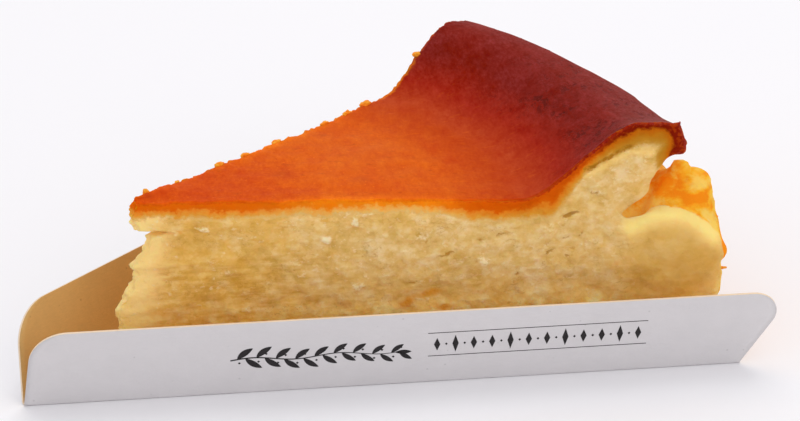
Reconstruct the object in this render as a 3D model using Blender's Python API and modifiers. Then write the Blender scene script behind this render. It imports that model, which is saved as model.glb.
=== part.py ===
"""A slice of Basque burnt cheesecake lying in its folded card slice holder.

The slice is one solid: a wedge of a round cake whose top sinks towards the
middle and climbs to a burnt rim, with a crack under the rim. The holder is one
sheet of card: a base and two low flaps that lean outward.
Units are metres, +Z is up, and +X runs along the holder's near fold.
"""

import math

import bmesh
import bpy
from mathutils import Vector, noise

MM = 0.001

# Card holder
CARD_THICKNESS = 0.5 * MM
FOLD_LENGTH = 150.0 * MM
FOLD_ANGLE = math.radians(49.6)
FLAP_HEIGHT = 18.8 * MM
FLAP_LEAN = math.radians(15.0)
POINT_CUT_BACK = 0.8 * MM
NEAR_NARROW_END = (math.radians(12.5), 8.8 * MM)
FAR_NARROW_END = (math.radians(17.5), 10.5 * MM)
WIDE_END_LEAN = math.radians(27.0)
WIDE_END_RADIUS = 5.2 * MM
CORNER_STEPS = 7
BASE_ARC_STEPS = 18

# Slice: its apex and two cuts, seen from above
APEX = Vector((23.3 * MM, 5.7 * MM))
NEAR_CUT_TURN = math.radians(-0.5)
SLICE_ANGLE = math.radians(46.7)
REST_GAP = 0.3 * MM
BOTTOM_HEIGHT = CARD_THICKNESS + REST_GAP

# Top: sinks from the tip to a valley, then climbs to the burnt rim
TIP_TOP = 40.9 * MM
VALLEY_RADIUS = 77.0 * MM
VALLEY_DROP_NEAR = 3.3 * MM
VALLEY_DROP_FAR = 0.8 * MM
VALLEY_CURVE = 1.8
RISE_START_NEAR = 80.0 * MM
RISE_START_FAR = 81.0 * MM
CREST_RADIUS_NEAR = 105.0 * MM
CREST_RADIUS_FAR = 106.5 * MM
CREST_HEIGHT = 49.0 * MM
CREST_LIFT_AT_CUT = 4.5 * MM
CREST_LIFT_SPREAD = math.radians(4.0)
CREST_LIFT_FAR = 2.2 * MM
LIP_ROLL = 0.8 * MM

# Outer wall from the base up to the lip, in millimetres as (radius, height).
# The same sixteen places are given at three angles round from the near cut.
WALL_AT_CUT = (
    (117.5, 0.8), (120.0, 8.0), (122.6, 17.0), (122.2, 21.0),
    (123.9, 24.4), (120.8, 29.4), (115.8, 33.4), (108.8, 34.4),
    (104.4, 31.6), (101.8, 33.5), (106.4, 37.2), (108.4, 42.0),
    (111.4, 45.2), (114.7, 46.0), (114.3, 49.8), (113.3, 52.7),
)
WALL_AT_LEDGE = (
    (117.0, 0.8), (119.3, 8.0), (121.4, 16.0), (121.8, 21.0),
    (123.2, 26.0), (122.3, 34.0), (120.8, 39.6), (113.6, 40.2),
    (108.8, 36.8), (106.4, 38.2), (108.8, 40.6), (110.0, 43.2),
    (112.4, 44.6), (114.6, 45.0), (114.3, 47.6), (113.3, 50.1),
)
WALL_ROUND = (
    (115.6, 0.8), (117.4, 8.0), (118.4, 15.0), (118.6, 20.5),
    (118.6, 26.0), (117.6, 32.2), (115.6, 35.8), (113.0, 36.8),
    (110.8, 36.8), (109.4, 38.2), (110.0, 40.2), (111.2, 41.6),
    (112.8, 42.7), (114.2, 43.6), (114.0, 46.0), (112.8, 48.2),
)
WALL_POINTS_OF_CAP = 6
LEDGE_TURN = math.radians(3.5)
ROUND_TURN = math.radians(7.5)

# Tip edge from the base up, in millimetres as (height, reach past the apex)
TIP_OUTLINE = (
    (0.8, -2.3), (10.0, -2.7), (19.0, -2.5), (25.0, 0.2),
    (30.0, 2.0), (34.4, 4.6), (36.4, 2.1), (41.0, 2.1),
)
TIP_RADIUS = 3.0 * MM
TIP_BULGE = 0.7 * MM
TIP_FADE = 11.0 * MM

# Surface relief
CUT_WAVE = 0.55 * MM
CUT_WAVE_SIZE = 26.0 * MM
CRUMB = 0.45 * MM
CRUMB_SIZE = 5.0 * MM
LOBE_BULGE = 1.3 * MM
LOBE_CENTRE = (113.0 * MM, 22.0 * MM)
LOBE_SIZE = 11.0 * MM
EDGE_ROUND = 1.2 * MM
EDGE_ROUND_WIDTH = 2.6 * MM
TOP_WAVE = 0.5 * MM
TOP_WAVE_SIZE = 22.0 * MM
PLEAT_DEPTH = 1.0 * MM
PLEAT_SIZE = math.radians(3.4)

# Lattice that the slice is shaped from: along the slice, across it, up it
STEPS_ALONG = 46
STEPS_ACROSS = 18
STEPS_UP = 30
STRAIGHT_SHARE = 0.68
STRAIGHT_RADIUS = 94.0 * MM
ROW_CROWDING = 1.5
ROW_BEND = 2.2

BURNT_SKIN = ("burnt_skin", (0.40, 0.085, 0.022), 0.42)
CREAM_CRUMB = ("cream_crumb", (0.72, 0.52, 0.24), 0.62)
WHITE_CARD = ("white_card", (0.60, 0.58, 0.58), 0.75)


def lerp(start, end, share):
    return start + (end - start) * share


def smooth_step(start, end, value):
    share = min(max((value - start) / (end - start), 0.0), 1.0)
    return share * share * (3.0 - 2.0 * share)


def spline(points, place):
    """Point at place (0 to 1) on a smooth curve through evenly numbered points."""
    last = len(points) - 1
    index = min(int(place * last), last - 1)
    share = place * last - index
    before = points[max(index - 1, 0)]
    here = points[index]
    after = points[index + 1]
    beyond = points[min(index + 2, last)]
    slope_in = (after - before) * 0.5
    slope_out = (beyond - here) * 0.5
    square = share * share
    cube = square * share
    return (
        here * (2.0 * cube - 3.0 * square + 1.0)
        + slope_in * (cube - 2.0 * square + share)
        + after * (3.0 * square - 2.0 * cube)
        + slope_out * (cube - square)
    )


def crest_height(turn):
    """Height of the rim's crest at this turn from the near cut."""
    at_cut = CREST_LIFT_AT_CUT * math.exp(-turn / CREST_LIFT_SPREAD)
    far = CREST_LIFT_FAR * smooth_step(0.5 * SLICE_ANGLE, SLICE_ANGLE, turn)
    return CREST_HEIGHT + at_cut + far


def top_height(radius, turn):
    """Height of the skin over a point at this radius and turn from the near cut."""
    across = turn / SLICE_ANGLE
    valley_drop = lerp(VALLEY_DROP_NEAR, VALLEY_DROP_FAR, across)
    sunk = TIP_TOP - valley_drop * min(radius / VALLEY_RADIUS, 1.0) ** VALLEY_CURVE
    rise_start = lerp(RISE_START_NEAR, RISE_START_FAR, across)
    crest_radius = lerp(CREST_RADIUS_NEAR, CREST_RADIUS_FAR, across)
    rise = smooth_step(rise_start, crest_radius, radius)
    height = lerp(sunk, crest_height(turn), rise)
    lip_radius = wall_outline(turn)[-1].x
    roll = max(radius - crest_radius, 0.0) / (lip_radius - crest_radius)
    return height - LIP_ROLL * roll * roll


def wall_outline(turn):
    """Wall points at this turn: the stations blended, the cap carried by the crest."""
    to_ledge = smooth_step(0.0, LEDGE_TURN, turn)
    to_round = smooth_step(LEDGE_TURN, ROUND_TURN, turn)
    points = []
    for cut, ledge, rest in zip(WALL_AT_CUT, WALL_AT_LEDGE, WALL_ROUND):
        point = Vector(cut).lerp(Vector(ledge), to_ledge).lerp(Vector(rest), to_round)
        points.append(point * MM)
    lift = crest_height(turn) - LIP_ROLL - points[-1].y
    for index in range(1, WALL_POINTS_OF_CAP + 1):
        share = 1.0 - (index - 1) / WALL_POINTS_OF_CAP
        points[-index].y += lift * share
    return points


def relief(point, size, depth):
    """Smooth uneven height at a point, for bumps of this size and depth."""
    return noise.fractal(point / size, 1.0, 2.0, 3) * depth


def wall_point(turn, up):
    """Point (radius, height) on the outer wall, with the creases of the paper."""
    point = spline(wall_outline(turn), up)
    pleat = noise.noise(Vector((turn / PLEAT_SIZE, point.y / (34.0 * MM), 3.1)))
    away_from_cut = smooth_step(0.0, LEDGE_TURN * 2.0, turn)
    below_lip = 1.0 - smooth_step(0.6, 1.0, up)
    point.x += PLEAT_DEPTH * pleat * away_from_cut * lerp(0.3, 1.0, below_lip)
    return point


def side_relief(radius, height, side, edge_distance):
    """How far a cut stands out from its plane: waves, crumbs, lobe, rounded edge."""
    place = Vector((radius, height, side * 0.2))
    out = relief(place, CUT_WAVE_SIZE, CUT_WAVE)
    out += relief(place + Vector((0.0, 0.0, 0.1)), CRUMB_SIZE, CRUMB)
    if side == 0:
        offset = Vector((radius - LOBE_CENTRE[0], height - LOBE_CENTRE[1]))
        out += LOBE_BULGE * math.exp(-offset.length_squared / (LOBE_SIZE * LOBE_SIZE))
    edge = 1.0 - min(edge_distance / EDGE_ROUND_WIDTH, 1.0)
    return out - EDGE_ROUND * edge * edge


def height_share(outline, height):
    """Place of a height among outline points that are sorted by height."""
    last = len(outline) - 1
    for index in range(last):
        low = outline[index].x
        high = outline[index + 1].x
        if height < high:
            return (index + max(height - low, 0.0) / (high - low)) / last
    return 1.0


def section_place(along, turn, up):
    """Radius, height and distance to the wall in the upright section at this turn.

    Columns are upright as far as STRAIGHT_RADIUS, and bend from there to the wall.
    """
    row = 1.0 - (1.0 - up) ** ROW_CROWDING
    if along <= STRAIGHT_SHARE:
        radius = lerp(TIP_RADIUS, STRAIGHT_RADIUS, along / STRAIGHT_SHARE)
        height = lerp(BOTTOM_HEIGHT, top_height(radius, turn), row)
        return radius, height, EDGE_ROUND_WIDTH
    share = (along - STRAIGHT_SHARE) / (1.0 - STRAIGHT_SHARE)
    bent_share = share ** ROW_BEND
    wall = wall_point(turn, up)
    lip = wall_outline(turn)[-1]
    inner_top = top_height(STRAIGHT_RADIUS, turn)
    radius = lerp(STRAIGHT_RADIUS, wall.x, share)
    height = lerp(lerp(BOTTOM_HEIGHT, inner_top, row), wall.y, bent_share)
    skin = top_height(lerp(STRAIGHT_RADIUS, lip.x, share), turn)
    height += (skin - lerp(inner_top, lip.y, bent_share)) * row ** 3
    return radius, height, (1.0 - share) * (wall.x - STRAIGHT_RADIUS)


def tip_pull(radius, height, across):
    """Shift along the slice's middle line that gives the tip its uneven edge."""
    outline = [Vector(values) * MM for values in TIP_OUTLINE]
    reach = spline(outline, height_share(outline, height)).y
    off_middle = 2.0 * across - 1.0
    pull = reach - TIP_RADIUS * math.cos(0.5 * SLICE_ANGLE)
    pull -= TIP_BULGE * (1.0 - off_middle * off_middle)
    return pull * math.exp((TIP_RADIUS - radius) / TIP_FADE)


def slice_point(along, across, up):
    """Place of a lattice point of the slice, before the slice is laid in its holder."""
    turn = across * SLICE_ANGLE
    radius, height, edge_distance = section_place(along, turn, up)
    side = 0 if across < 0.5 else 1
    out = side_relief(radius, height, side, edge_distance) * (2.0 * across - 1.0)
    outward = Vector((math.cos(turn), math.sin(turn), 0.0))
    sideways = Vector((-math.sin(turn), math.cos(turn), 0.0))
    point = outward * radius + sideways * out

    rim_fade = 1.0 - smooth_step(STRAIGHT_RADIUS, CREST_RADIUS_FAR, radius)
    wave = relief(point, TOP_WAVE_SIZE, TOP_WAVE) * rim_fade
    point.z = height + wave * (1.0 - (1.0 - up) ** ROW_CROWDING)

    middle_line = Vector((math.cos(0.5 * SLICE_ANGLE), math.sin(0.5 * SLICE_ANGLE), 0.0))
    return point + middle_line * tip_pull(radius, point.z, across)


def box_lattice(steps):
    """A unit cube with its sides cut into the given number of steps."""
    body = bmesh.new()
    bmesh.ops.create_cube(body, size=1.0)
    bmesh.ops.translate(body, verts=body.verts, vec=(0.5, 0.5, 0.5))
    for axis, count in enumerate(steps):
        along_axis = [
            edge for edge in body.edges
            if abs((edge.verts[0].co - edge.verts[1].co)[axis]) > 0.5
        ]
        bmesh.ops.subdivide_edges(
            body, edges=along_axis, cuts=count - 1, use_grid_fill=True
        )
    return body


def make_material(name, colour, roughness):
    material = bpy.data.materials.new(name)
    material.use_nodes = True
    shader = material.node_tree.nodes["Principled BSDF"]
    shader.inputs["Base Color"].default_value = (*colour, 1.0)
    shader.inputs["Roughness"].default_value = roughness
    shader.inputs["Metallic"].default_value = 0.0
    return material


def make_slice(collection):
    """The slice of cake: crumb on the two cuts, burnt skin on its top and wall."""
    body = box_lattice((STEPS_ALONG, STEPS_ACROSS, STEPS_UP))
    for face in body.faces:
        middle = face.calc_center_median()
        if middle.z > 0.9999 or middle.x > 0.9999:
            face.material_index = 1
    for vert in body.verts:
        along, across, up = (round(value, 6) for value in vert.co)
        vert.co = slice_point(along, across, up)
    bmesh.ops.triangulate(body, faces=body.faces)
    mesh = bpy.data.meshes.new("cheesecake_slice")
    body.to_mesh(mesh)
    body.free()
    mesh.materials.append(make_material(*CREAM_CRUMB))
    mesh.materials.append(make_material(*BURNT_SKIN))
    mesh.shade_smooth()
    mesh.set_sharp_from_angle(angle=math.radians(50.0))
    cake = bpy.data.objects.new("cheesecake_slice", mesh)
    cake.location = (APEX.x, APEX.y, 0.0)
    cake.rotation_euler = (0.0, 0.0, NEAR_CUT_TURN)
    collection.objects.link(cake)
    return cake


def corner_arc(before, corner, after, radius):
    """Points of the arc that rounds a corner between two straight edges."""
    towards_before = (before - corner).normalized()
    towards_after = (after - corner).normalized()
    half = 0.5 * towards_before.angle(towards_after)
    middle = (towards_before + towards_after).normalized()
    centre = corner + middle * (radius / math.sin(half))
    reach = radius / math.tan(half)
    start = (corner + towards_before * reach - centre).normalized()
    end = (corner + towards_after * reach - centre).normalized()
    points = []
    for step in range(CORNER_STEPS + 1):
        points.append(centre + start.slerp(end, step / CORNER_STEPS) * radius)
    return points


def flap_outline(narrow_end):
    """Flap laid flat, as (along the fold, up the flap), from narrow to wide end."""
    narrow_lean, narrow_radius = narrow_end
    narrow_low = Vector((POINT_CUT_BACK, 0.0))
    narrow_high = Vector((math.tan(narrow_lean) * FLAP_HEIGHT, FLAP_HEIGHT))
    wide_low = Vector((FOLD_LENGTH, 0.0))
    wide_reach = math.tan(WIDE_END_LEAN) * FLAP_HEIGHT
    wide_high = Vector((FOLD_LENGTH + wide_reach, FLAP_HEIGHT))
    outline = [narrow_low]
    outline += corner_arc(narrow_low, narrow_high, wide_high, narrow_radius)
    outline += corner_arc(narrow_high, wide_high, wide_low, WIDE_END_RADIUS)
    outline.append(wide_low)
    return outline


def make_holder(collection):
    """The card holder: one sheet with its base flat and both flaps folded up."""
    sheet = bmesh.new()
    near = Vector((1.0, 0.0, 0.0))
    far = Vector((math.cos(FOLD_ANGLE), math.sin(FOLD_ANGLE), 0.0))
    near_out = Vector((0.0, -1.0, 0.0))
    far_out = Vector((-math.sin(FOLD_ANGLE), math.cos(FOLD_ANGLE), 0.0))
    up = Vector((0.0, 0.0, 1.0))

    rings = []
    for fold, outward, narrow_end in (
        (near, near_out, NEAR_NARROW_END), (far, far_out, FAR_NARROW_END)
    ):
        rise = up * math.cos(FLAP_LEAN) + outward * math.sin(FLAP_LEAN)
        outline = flap_outline(narrow_end)
        rings.append([sheet.verts.new(fold * p.x + rise * p.y) for p in outline])
    near_ring, far_ring = rings
    far_ring.reverse()
    for ring in rings:
        sheet.faces.new(ring)
    arc = []
    for step in range(1, BASE_ARC_STEPS):
        angle = FOLD_ANGLE * step / BASE_ARC_STEPS
        point = Vector((math.cos(angle), math.sin(angle), 0.0)) * FOLD_LENGTH
        arc.append(sheet.verts.new(point))
    sheet.faces.new([near_ring[0], near_ring[-1]] + arc + [far_ring[0], far_ring[-1]])
    bmesh.ops.recalc_face_normals(sheet, faces=sheet.faces)
    if sum(face.normal.z for face in sheet.faces) < 0.0:
        bmesh.ops.reverse_faces(sheet, faces=sheet.faces)

    mesh = bpy.data.meshes.new("card_holder")
    sheet.to_mesh(mesh)
    sheet.free()
    mesh.materials.append(make_material(*WHITE_CARD))
    holder = bpy.data.objects.new("card_holder", mesh)
    holder.location = (-0.5 * POINT_CUT_BACK, 0.0, 0.5 * CARD_THICKNESS)
    collection.objects.link(holder)
    thickness = holder.modifiers.new("thickness", "SOLIDIFY")
    thickness.thickness = CARD_THICKNESS
    thickness.offset = 0.0
    thickness.solidify_mode = "NON_MANIFOLD"
    thickness.nonmanifold_thickness_mode = "CONSTRAINTS"
    thickness.nonmanifold_merge_threshold = 0.00001
    return holder


def world_corners(objects):
    """Lowest and highest corner of what the modifiers make of these objects."""
    graph = bpy.context.evaluated_depsgraph_get()
    points = []
    for item in objects:
        mesh = item.evaluated_get(graph).data
        points += [item.matrix_world @ vert.co for vert in mesh.vertices]
    low = Vector([min(point[axis] for point in points) for axis in range(3)])
    high = Vector([max(point[axis] for point in points) for axis in range(3)])
    return low, high


def main():
    for item in list(bpy.data.objects):
        bpy.data.objects.remove(item, do_unlink=True)
    collection = bpy.data.collections.new("burnt_cheesecake_slice")
    bpy.context.scene.collection.children.link(collection)
    pieces = [make_slice(collection), make_holder(collection)]

    middle = bpy.data.objects.new("middle_of_base", None)
    collection.objects.link(middle)
    bpy.context.view_layer.update()
    low, high = world_corners(pieces)
    middle.location = (-0.5 * (low.x + high.x), -0.5 * (low.y + high.y), -low.z)
    for piece in pieces:
        piece.parent = middle


main()
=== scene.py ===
"""Looks of a slice of burnt cheesecake lying in its folded card holder.

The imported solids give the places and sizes. The slice, its crumbs, the card and its
print are modelled here as finer meshes, in metres, in the same frame.
"""

import math
import random

import bmesh
import bpy
import numpy as np
from bpy.props import (
    FloatProperty, FloatVectorProperty, IntProperty, PointerProperty,
)
from mathutils import Matrix, Vector, noise


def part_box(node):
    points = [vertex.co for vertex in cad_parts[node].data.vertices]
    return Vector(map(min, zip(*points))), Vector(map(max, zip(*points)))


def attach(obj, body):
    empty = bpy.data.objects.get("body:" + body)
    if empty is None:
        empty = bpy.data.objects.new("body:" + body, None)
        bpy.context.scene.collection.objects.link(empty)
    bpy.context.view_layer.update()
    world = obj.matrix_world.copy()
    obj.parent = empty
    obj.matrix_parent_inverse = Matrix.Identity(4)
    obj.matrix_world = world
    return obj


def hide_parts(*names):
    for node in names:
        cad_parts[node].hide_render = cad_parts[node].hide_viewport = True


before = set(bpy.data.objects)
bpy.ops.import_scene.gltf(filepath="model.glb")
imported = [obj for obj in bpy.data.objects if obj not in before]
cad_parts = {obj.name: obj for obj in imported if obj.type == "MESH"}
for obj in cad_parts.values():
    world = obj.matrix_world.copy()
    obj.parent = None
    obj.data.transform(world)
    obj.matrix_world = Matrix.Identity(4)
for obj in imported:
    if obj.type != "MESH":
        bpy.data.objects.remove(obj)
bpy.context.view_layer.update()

bl_info = {
    "name": "Burnt cheesecake slice",
    "version": (1, 0, 0),
    "blender": (4, 5, 0),
    "location": "View3D > Sidebar > Cake",
    "description": "Makes a slice of burnt cheesecake in a folded card holder",
    "category": "Add Mesh",
}

MM = 0.001
RIGHT = Vector((1.0, 0.0, 0.0))
BACK = Vector((0.0, 1.0, 0.0))
UP = Vector((0.0, 0.0, 1.0))

# Card: two flaps on a base. The folds meet this far inside the low corner of its box
FOLD_INSET = (0.291 * MM, 5.108 * MM)
CARD_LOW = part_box("card_holder")[0]
CARD_THICKNESS = 0.5 * MM
FOLD_LENGTH = 150.0 * MM
FOLD_ANGLE = math.radians(49.6)
FLAP_HEIGHT = 18.8 * MM
FLAP_LEAN = math.radians(15.0)
POINT_CUT_BACK = 0.8 * MM
# How far each end of a flap leans, and the radius of its top corner
NEAR_NARROW_END = (math.radians(12.5), 8.8 * MM)
FAR_NARROW_END = (math.radians(17.5), 10.5 * MM)
WIDE_END = (math.radians(27.0), 5.2 * MM)
FOLD_APEX = Vector((CARD_LOW.x + FOLD_INSET[0], CARD_LOW.y + FOLD_INSET[1], 0.0))
CARD_ORIGIN = FOLD_APEX + Vector((-0.5 * POINT_CUT_BACK, 0.0, 0.5 * CARD_THICKNESS))
# Steps of a fold's bend, of a flap's round corner and of the base's round end
FOLD_STEPS = 6
CORNER_STEPS = 14
ARC_STEPS = 48

# Slice: its apex and two cuts, seen from above
SLICE_LOW, SLICE_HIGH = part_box("cheesecake_slice")
APEX_FROM_FOLDS = Vector((23.3 * MM, 5.7 * MM, 0.0))
APEX = FOLD_APEX + APEX_FROM_FOLDS
NEAR_CUT_TURN = math.radians(-0.5)
SLICE_ANGLE = math.radians(46.7)
BOTTOM_HEIGHT = SLICE_LOW.z

# Top: sinks from the tip to a valley, then climbs to the burnt rim
TIP_TOP = 40.9 * MM
VALLEY_RADIUS = 77.0 * MM
VALLEY_DROP_NEAR = 3.3 * MM
VALLEY_DROP_FAR = 0.8 * MM
VALLEY_CURVE = 1.8
RISE_START_NEAR = 80.0 * MM
RISE_START_FAR = 81.0 * MM
CREST_RADIUS_NEAR = 105.0 * MM
CREST_RADIUS_FAR = 106.5 * MM
CREST_HEIGHT = 49.0 * MM
CREST_LIFT_AT_CUT = 4.5 * MM
CREST_LIFT_SPREAD = math.radians(4.0)
CREST_LIFT_FAR = 2.2 * MM
LIP_ROLL = 0.8 * MM

# Outer wall from the base up to the lip, in millimetres as (radius, height)
# The same sixteen places are given at three angles round from the near cut, and the
# upper ones, those of the cap, follow the rim's height
WALL_AT_CUT = (
    (118.2, 0.8), (120.9, 8.0), (123.0, 17.0), (122.7, 21.0),
    (123.9, 24.4), (120.8, 29.4), (115.8, 33.4), (108.8, 34.4),
    (104.4, 31.6), (101.8, 33.5), (106.4, 37.2), (108.4, 42.0),
    (111.4, 45.2), (114.7, 46.0), (114.3, 49.8), (113.3, 52.7),
)
WALL_AT_LEDGE = (
    (117.0, 0.8), (119.3, 8.0), (121.4, 16.0), (121.8, 21.0),
    (123.2, 26.0), (122.3, 33.6), (120.4, 38.9), (113.6, 39.6),
    (108.8, 36.8), (106.4, 38.2), (108.8, 40.6), (110.0, 43.2),
    (112.4, 44.6), (114.6, 45.0), (114.3, 47.6), (113.3, 50.1),
)
WALL_ROUND = (
    (115.6, 0.8), (117.4, 8.0), (118.4, 15.0), (118.6, 20.5),
    (118.6, 26.0), (117.6, 32.2), (115.6, 35.8), (113.0, 36.8),
    (110.8, 36.8), (109.4, 38.2), (110.0, 40.2), (111.2, 41.6),
    (112.8, 42.7), (114.2, 43.6), (114.0, 46.0), (112.8, 48.2),
)
WALL_POINTS_OF_CAP = 6
LEDGE_TURN = math.radians(3.5)
ROUND_TURN = math.radians(7.5)
# The crack's lower and upper edge, as shares of the way up the wall
CRACK_LOW = 6.6 / (len(WALL_AT_CUT) - 1)
CRACK_HIGH = 12.4 / (len(WALL_AT_CUT) - 1)

# Tip edge from the base up, in millimetres as (height, reach past the apex)
TIP_OUTLINE = (
    (0.8, -1.5), (6.0, -1.9), (13.0, -2.2), (16.6, -2.4), (18.4, -2.8),
    (19.8, -2.0), (21.2, -0.9), (22.6, 0.1), (24.2, 1.4), (25.6, 1.7),
    (26.8, 1.6), (27.5, 0.7), (28.4, 1.9), (29.6, 3.4), (31.0, 4.4),
    (32.4, 4.9), (33.6, 5.2), (34.4, 4.9), (34.9, 4.0), (35.3, 2.7),
    (36.0, 2.2), (37.4, 2.0), (39.2, 2.0), (41.0, 2.8),
)
# The notch under the tip's skin: height, half height, depth, and reach along the cut
NOTCH = (34.4 * MM, 0.55 * MM, 5.2 * MM, 2.3 * MM)
TIP_RADIUS = 3.0 * MM
TIP_BULGE = 0.7 * MM
TIP_FADE = 11.0 * MM

# Coarse relief, the same as the solid's. A shift or a row takes it from another place
# of the noise
CUT_WAVE = 0.55 * MM
CUT_WAVE_SIZE = 26.0 * MM
CRUMB = 0.45 * MM
CRUMB_SIZE = 5.0 * MM
LOBE_BULGE = 1.3 * MM
LOBE_CENTRE = (113.0 * MM, 22.0 * MM)
LOBE_SIZE = 11.0 * MM
EDGE_ROUND = 1.2 * MM
EDGE_ROUND_WIDTH = 2.6 * MM
TOP_WAVE = 0.5 * MM
TOP_WAVE_SIZE = 22.0 * MM
PLEAT_DEPTH = 1.0 * MM
PLEAT_SIZE = math.radians(3.4)
PLEAT_HEIGHT = 34.0 * MM
PLEAT_ROW = 3.1
PLEAT_SHARE_AT_LIP = 0.3
FAR_SIDE_SHIFT = 0.2
CRUMB_SHIFT = 0.1
STRAIGHT_SHARE = 0.68
STRAIGHT_RADIUS = 94.0 * MM
ROW_CROWDING = 1.5
ROW_BEND = 2.2

# Lattice of the fine mesh, crowded towards both cuts
STEPS_ALONG = 280
STEPS_ACROSS = 64
STEPS_UP = 114
CUT_CROWDING = 0.11

# Gentle waves of the far top edge: radius, spread and rise, and where they start and
# reach their full depth up the slice
FAR_EDGE_WAVES = ((8.0 * MM, 6.0 * MM, 0.9 * MM), (64.0 * MM, 14.0 * MM, -0.85 * MM))
EDGE_WAVE_HEIGHTS = (34.5 * MM, 39.0 * MM)
# The skin curls up at the tip's far corner
TIP_CURL = 0.5 * MM
TIP_CURL_SPREAD = 1.1 * MM
# The tip's crumb is ragged, from none of its depth to all of it over these radii
CRUMBLY_RADII = (13.0 * MM, 5.0 * MM)
TIP_LUMP_SIZE = 1.9 * MM
TIP_GRAIN_SIZE = 0.9 * MM

# Near the wall, low down, the cut is dense, and its curd loses this share of its depth
CALM_CENTRE = (114.0 * MM, 24.0 * MM)
CALM_SIZE = 13.0 * MM
CALM_SHARE = 0.85
# The far cut takes its relief from another place, so it isn't a copy of the near one
FAR_CUT_SHIFT = 0.3
# Bites out of the skin's cut edges, and lumps along the far one
NIBBLE = 0.5 * MM
NIBBLE_SIZE = 2.2 * MM
NIBBLE_FADE = 1.6 * MM
EDGE_LUMP = 0.45 * MM
EDGE_LUMP_SIZE = 1.8 * MM
# The rounding of those edges changes along them, and ends where the lip turns down
CORNER_WAVE = 0.5
CORNER_WAVE_SIZE = 4.0 * MM
BEFORE_LIP_RADII = (108.0 * MM, 100.0 * MM)
SKIN_WAVE = 0.06 * MM
SKIN_WAVE_SIZE = 3.0 * MM
# Crust of the wall, and the blocks at the end of the lip, whose heights are rounded to
# whole steps and then divided
CRUST_SIZE = 3.4 * MM
CRUST_GRAIN_SIZE = 1.3 * MM
CRUST_BLOCK_SIZE = 2.0 * MM
BLOCK_STEPS = 3.0
BLOCK_SHARE = 2.2
# The crack wanders up and down behind: its noise is read along the wall's length
CRACK_WANDER = 1.6 * MM
CRACK_WANDER_SIZE = 7.0 * MM
CRACK_SKEW = 4.0 * MM
WALL_REACH = 110.0 * MM

# A block that stands on the ledge below the crack: radius, turn, half width, top
KNOB = (114.9 * MM, math.radians(3.2), 1.9 * MM, 41.7 * MM)

# A crack in the cap, along under its crust, in millimetres as (radius, height)
CAP_CRACK = (
    (93.6, 43.4), (95.6, 44.3), (98.1, 46.0), (100.5, 47.4), (103.0, 48.2),
)
CAP_CRACK_WIDTH = 0.55 * MM
CAP_CRACK_BREAK_SIZE = 3.0 * MM

# Pale ridges of cheese, each with its width in millimetres and its strength: a pale ridge
# under the crack in the cap, and along the top of the lobe a painted highlight
PALE_RIDGES_AND_HIGHLIGHT = (
    (0.9, 0.5, (92.0, 42.4), (95.4, 43.1), (99.3, 45.6), (103.2, 47.1), (107.3, 46.9)),
    (2.6, 1.0, (103.5, 30.6), (108.5, 32.8), (112.5, 33.0), (116.5, 31.6), (120.6, 28.0)),
)

# Baking under the skin of a cut: radius and thickness in millimetres, and how dark,
# from 0 where it is bright orange to 1 where it is burnt
BAKING = (
    (4, 3.5, 0.42), (8, 3.1, 0.42), (14, 3.9, 0.42), (20, 4.1, 0.42), (30, 3.8, 0.3),
    (38, 3.3, 0.12), (52, 3.1, 0.0), (62, 3.2, 0.0), (70, 4.7, 0.46), (77, 5.0, 0.53),
    (81, 4.4, 0.6), (84, 5.2, 0.58), (87, 6.8, 0.57), (90, 4.8, 0.61), (94, 3.3, 0.68),
    (98, 3.8, 0.92), (101, 5.0, 1.0), (106, 5.4, 1.0), (110, 5.6, 1.0), (112, 9.0, 1.0),
    (114, 10.0, 1.0),
)

# Depth noted where it isn't measured, in millimetres: deeper than any baked band
DEEP = 30.0
# The lip starts at this share of the way up the wall. Over this reach above the crack,
# in the same shares, it goes from a millimetre below the burnt skin to skin. Behind,
# that reach and that depth are larger by this much
LIP_START = CRACK_HIGH - 0.05
LIP_REACH = 0.06
LIP_REACH_BEHIND = 0.12
LIP_DEPTH_BEHIND = 0.6

# How far marks and ridges stand out of a cut, or sink into it
MARK_RISES = {"lump": 1.0 * MM, "tear": -1.3 * MM, "cap_crack": -0.5 * MM, "ridge": 0.3 * MM}
# Their outlines are pushed about this far, over lengths of this size
MARK_PUSH = 0.9 * MM
MARK_PUSH_SIZE = 1.5 * MM
# Marks of the far cut: how many, the seed of their draw, and their depth or rise
FAR_TEARS = (16, 5, 0.5)
FAR_LUMPS = (18, 9, 0.5)
# Marks on the near cut, in millimetres and degrees:
# radius, height, half length, half width, tilt, and depth or rise
TEARS = (
    (90.8, 34.0, 1.7, 0.4, 25, 0.7), (65.5, 26.7, 1.9, 0.26, 30, 0.4),
    (86.3, 25.8, 1.3, 0.3, 35, 0.45), (89.6, 28.8, 1.1, 0.26, 4, 0.35),
    (90.3, 24.7, 0.5, 0.45, 0, 0.35), (79.9, 21.2, 0.7, 0.32, 30, 0.35),
    (95.9, 38.5, 1.0, 0.25, 8, 0.3), (48.3, 27.3, 1.0, 0.28, 50, 0.3),
    (76.3, 30.2, 1.1, 0.26, 20, 0.3), (72.1, 29.3, 1.0, 0.25, -10, 0.3),
    (93.2, 29.4, 1.2, 0.25, 60, 0.3), (57.9, 20.6, 1.3, 0.25, 15, 0.3),
    (33.5, 24.6, 1.4, 0.25, 8, 0.25), (24.0, 31.0, 1.0, 0.25, -6, 0.25),
)
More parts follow.
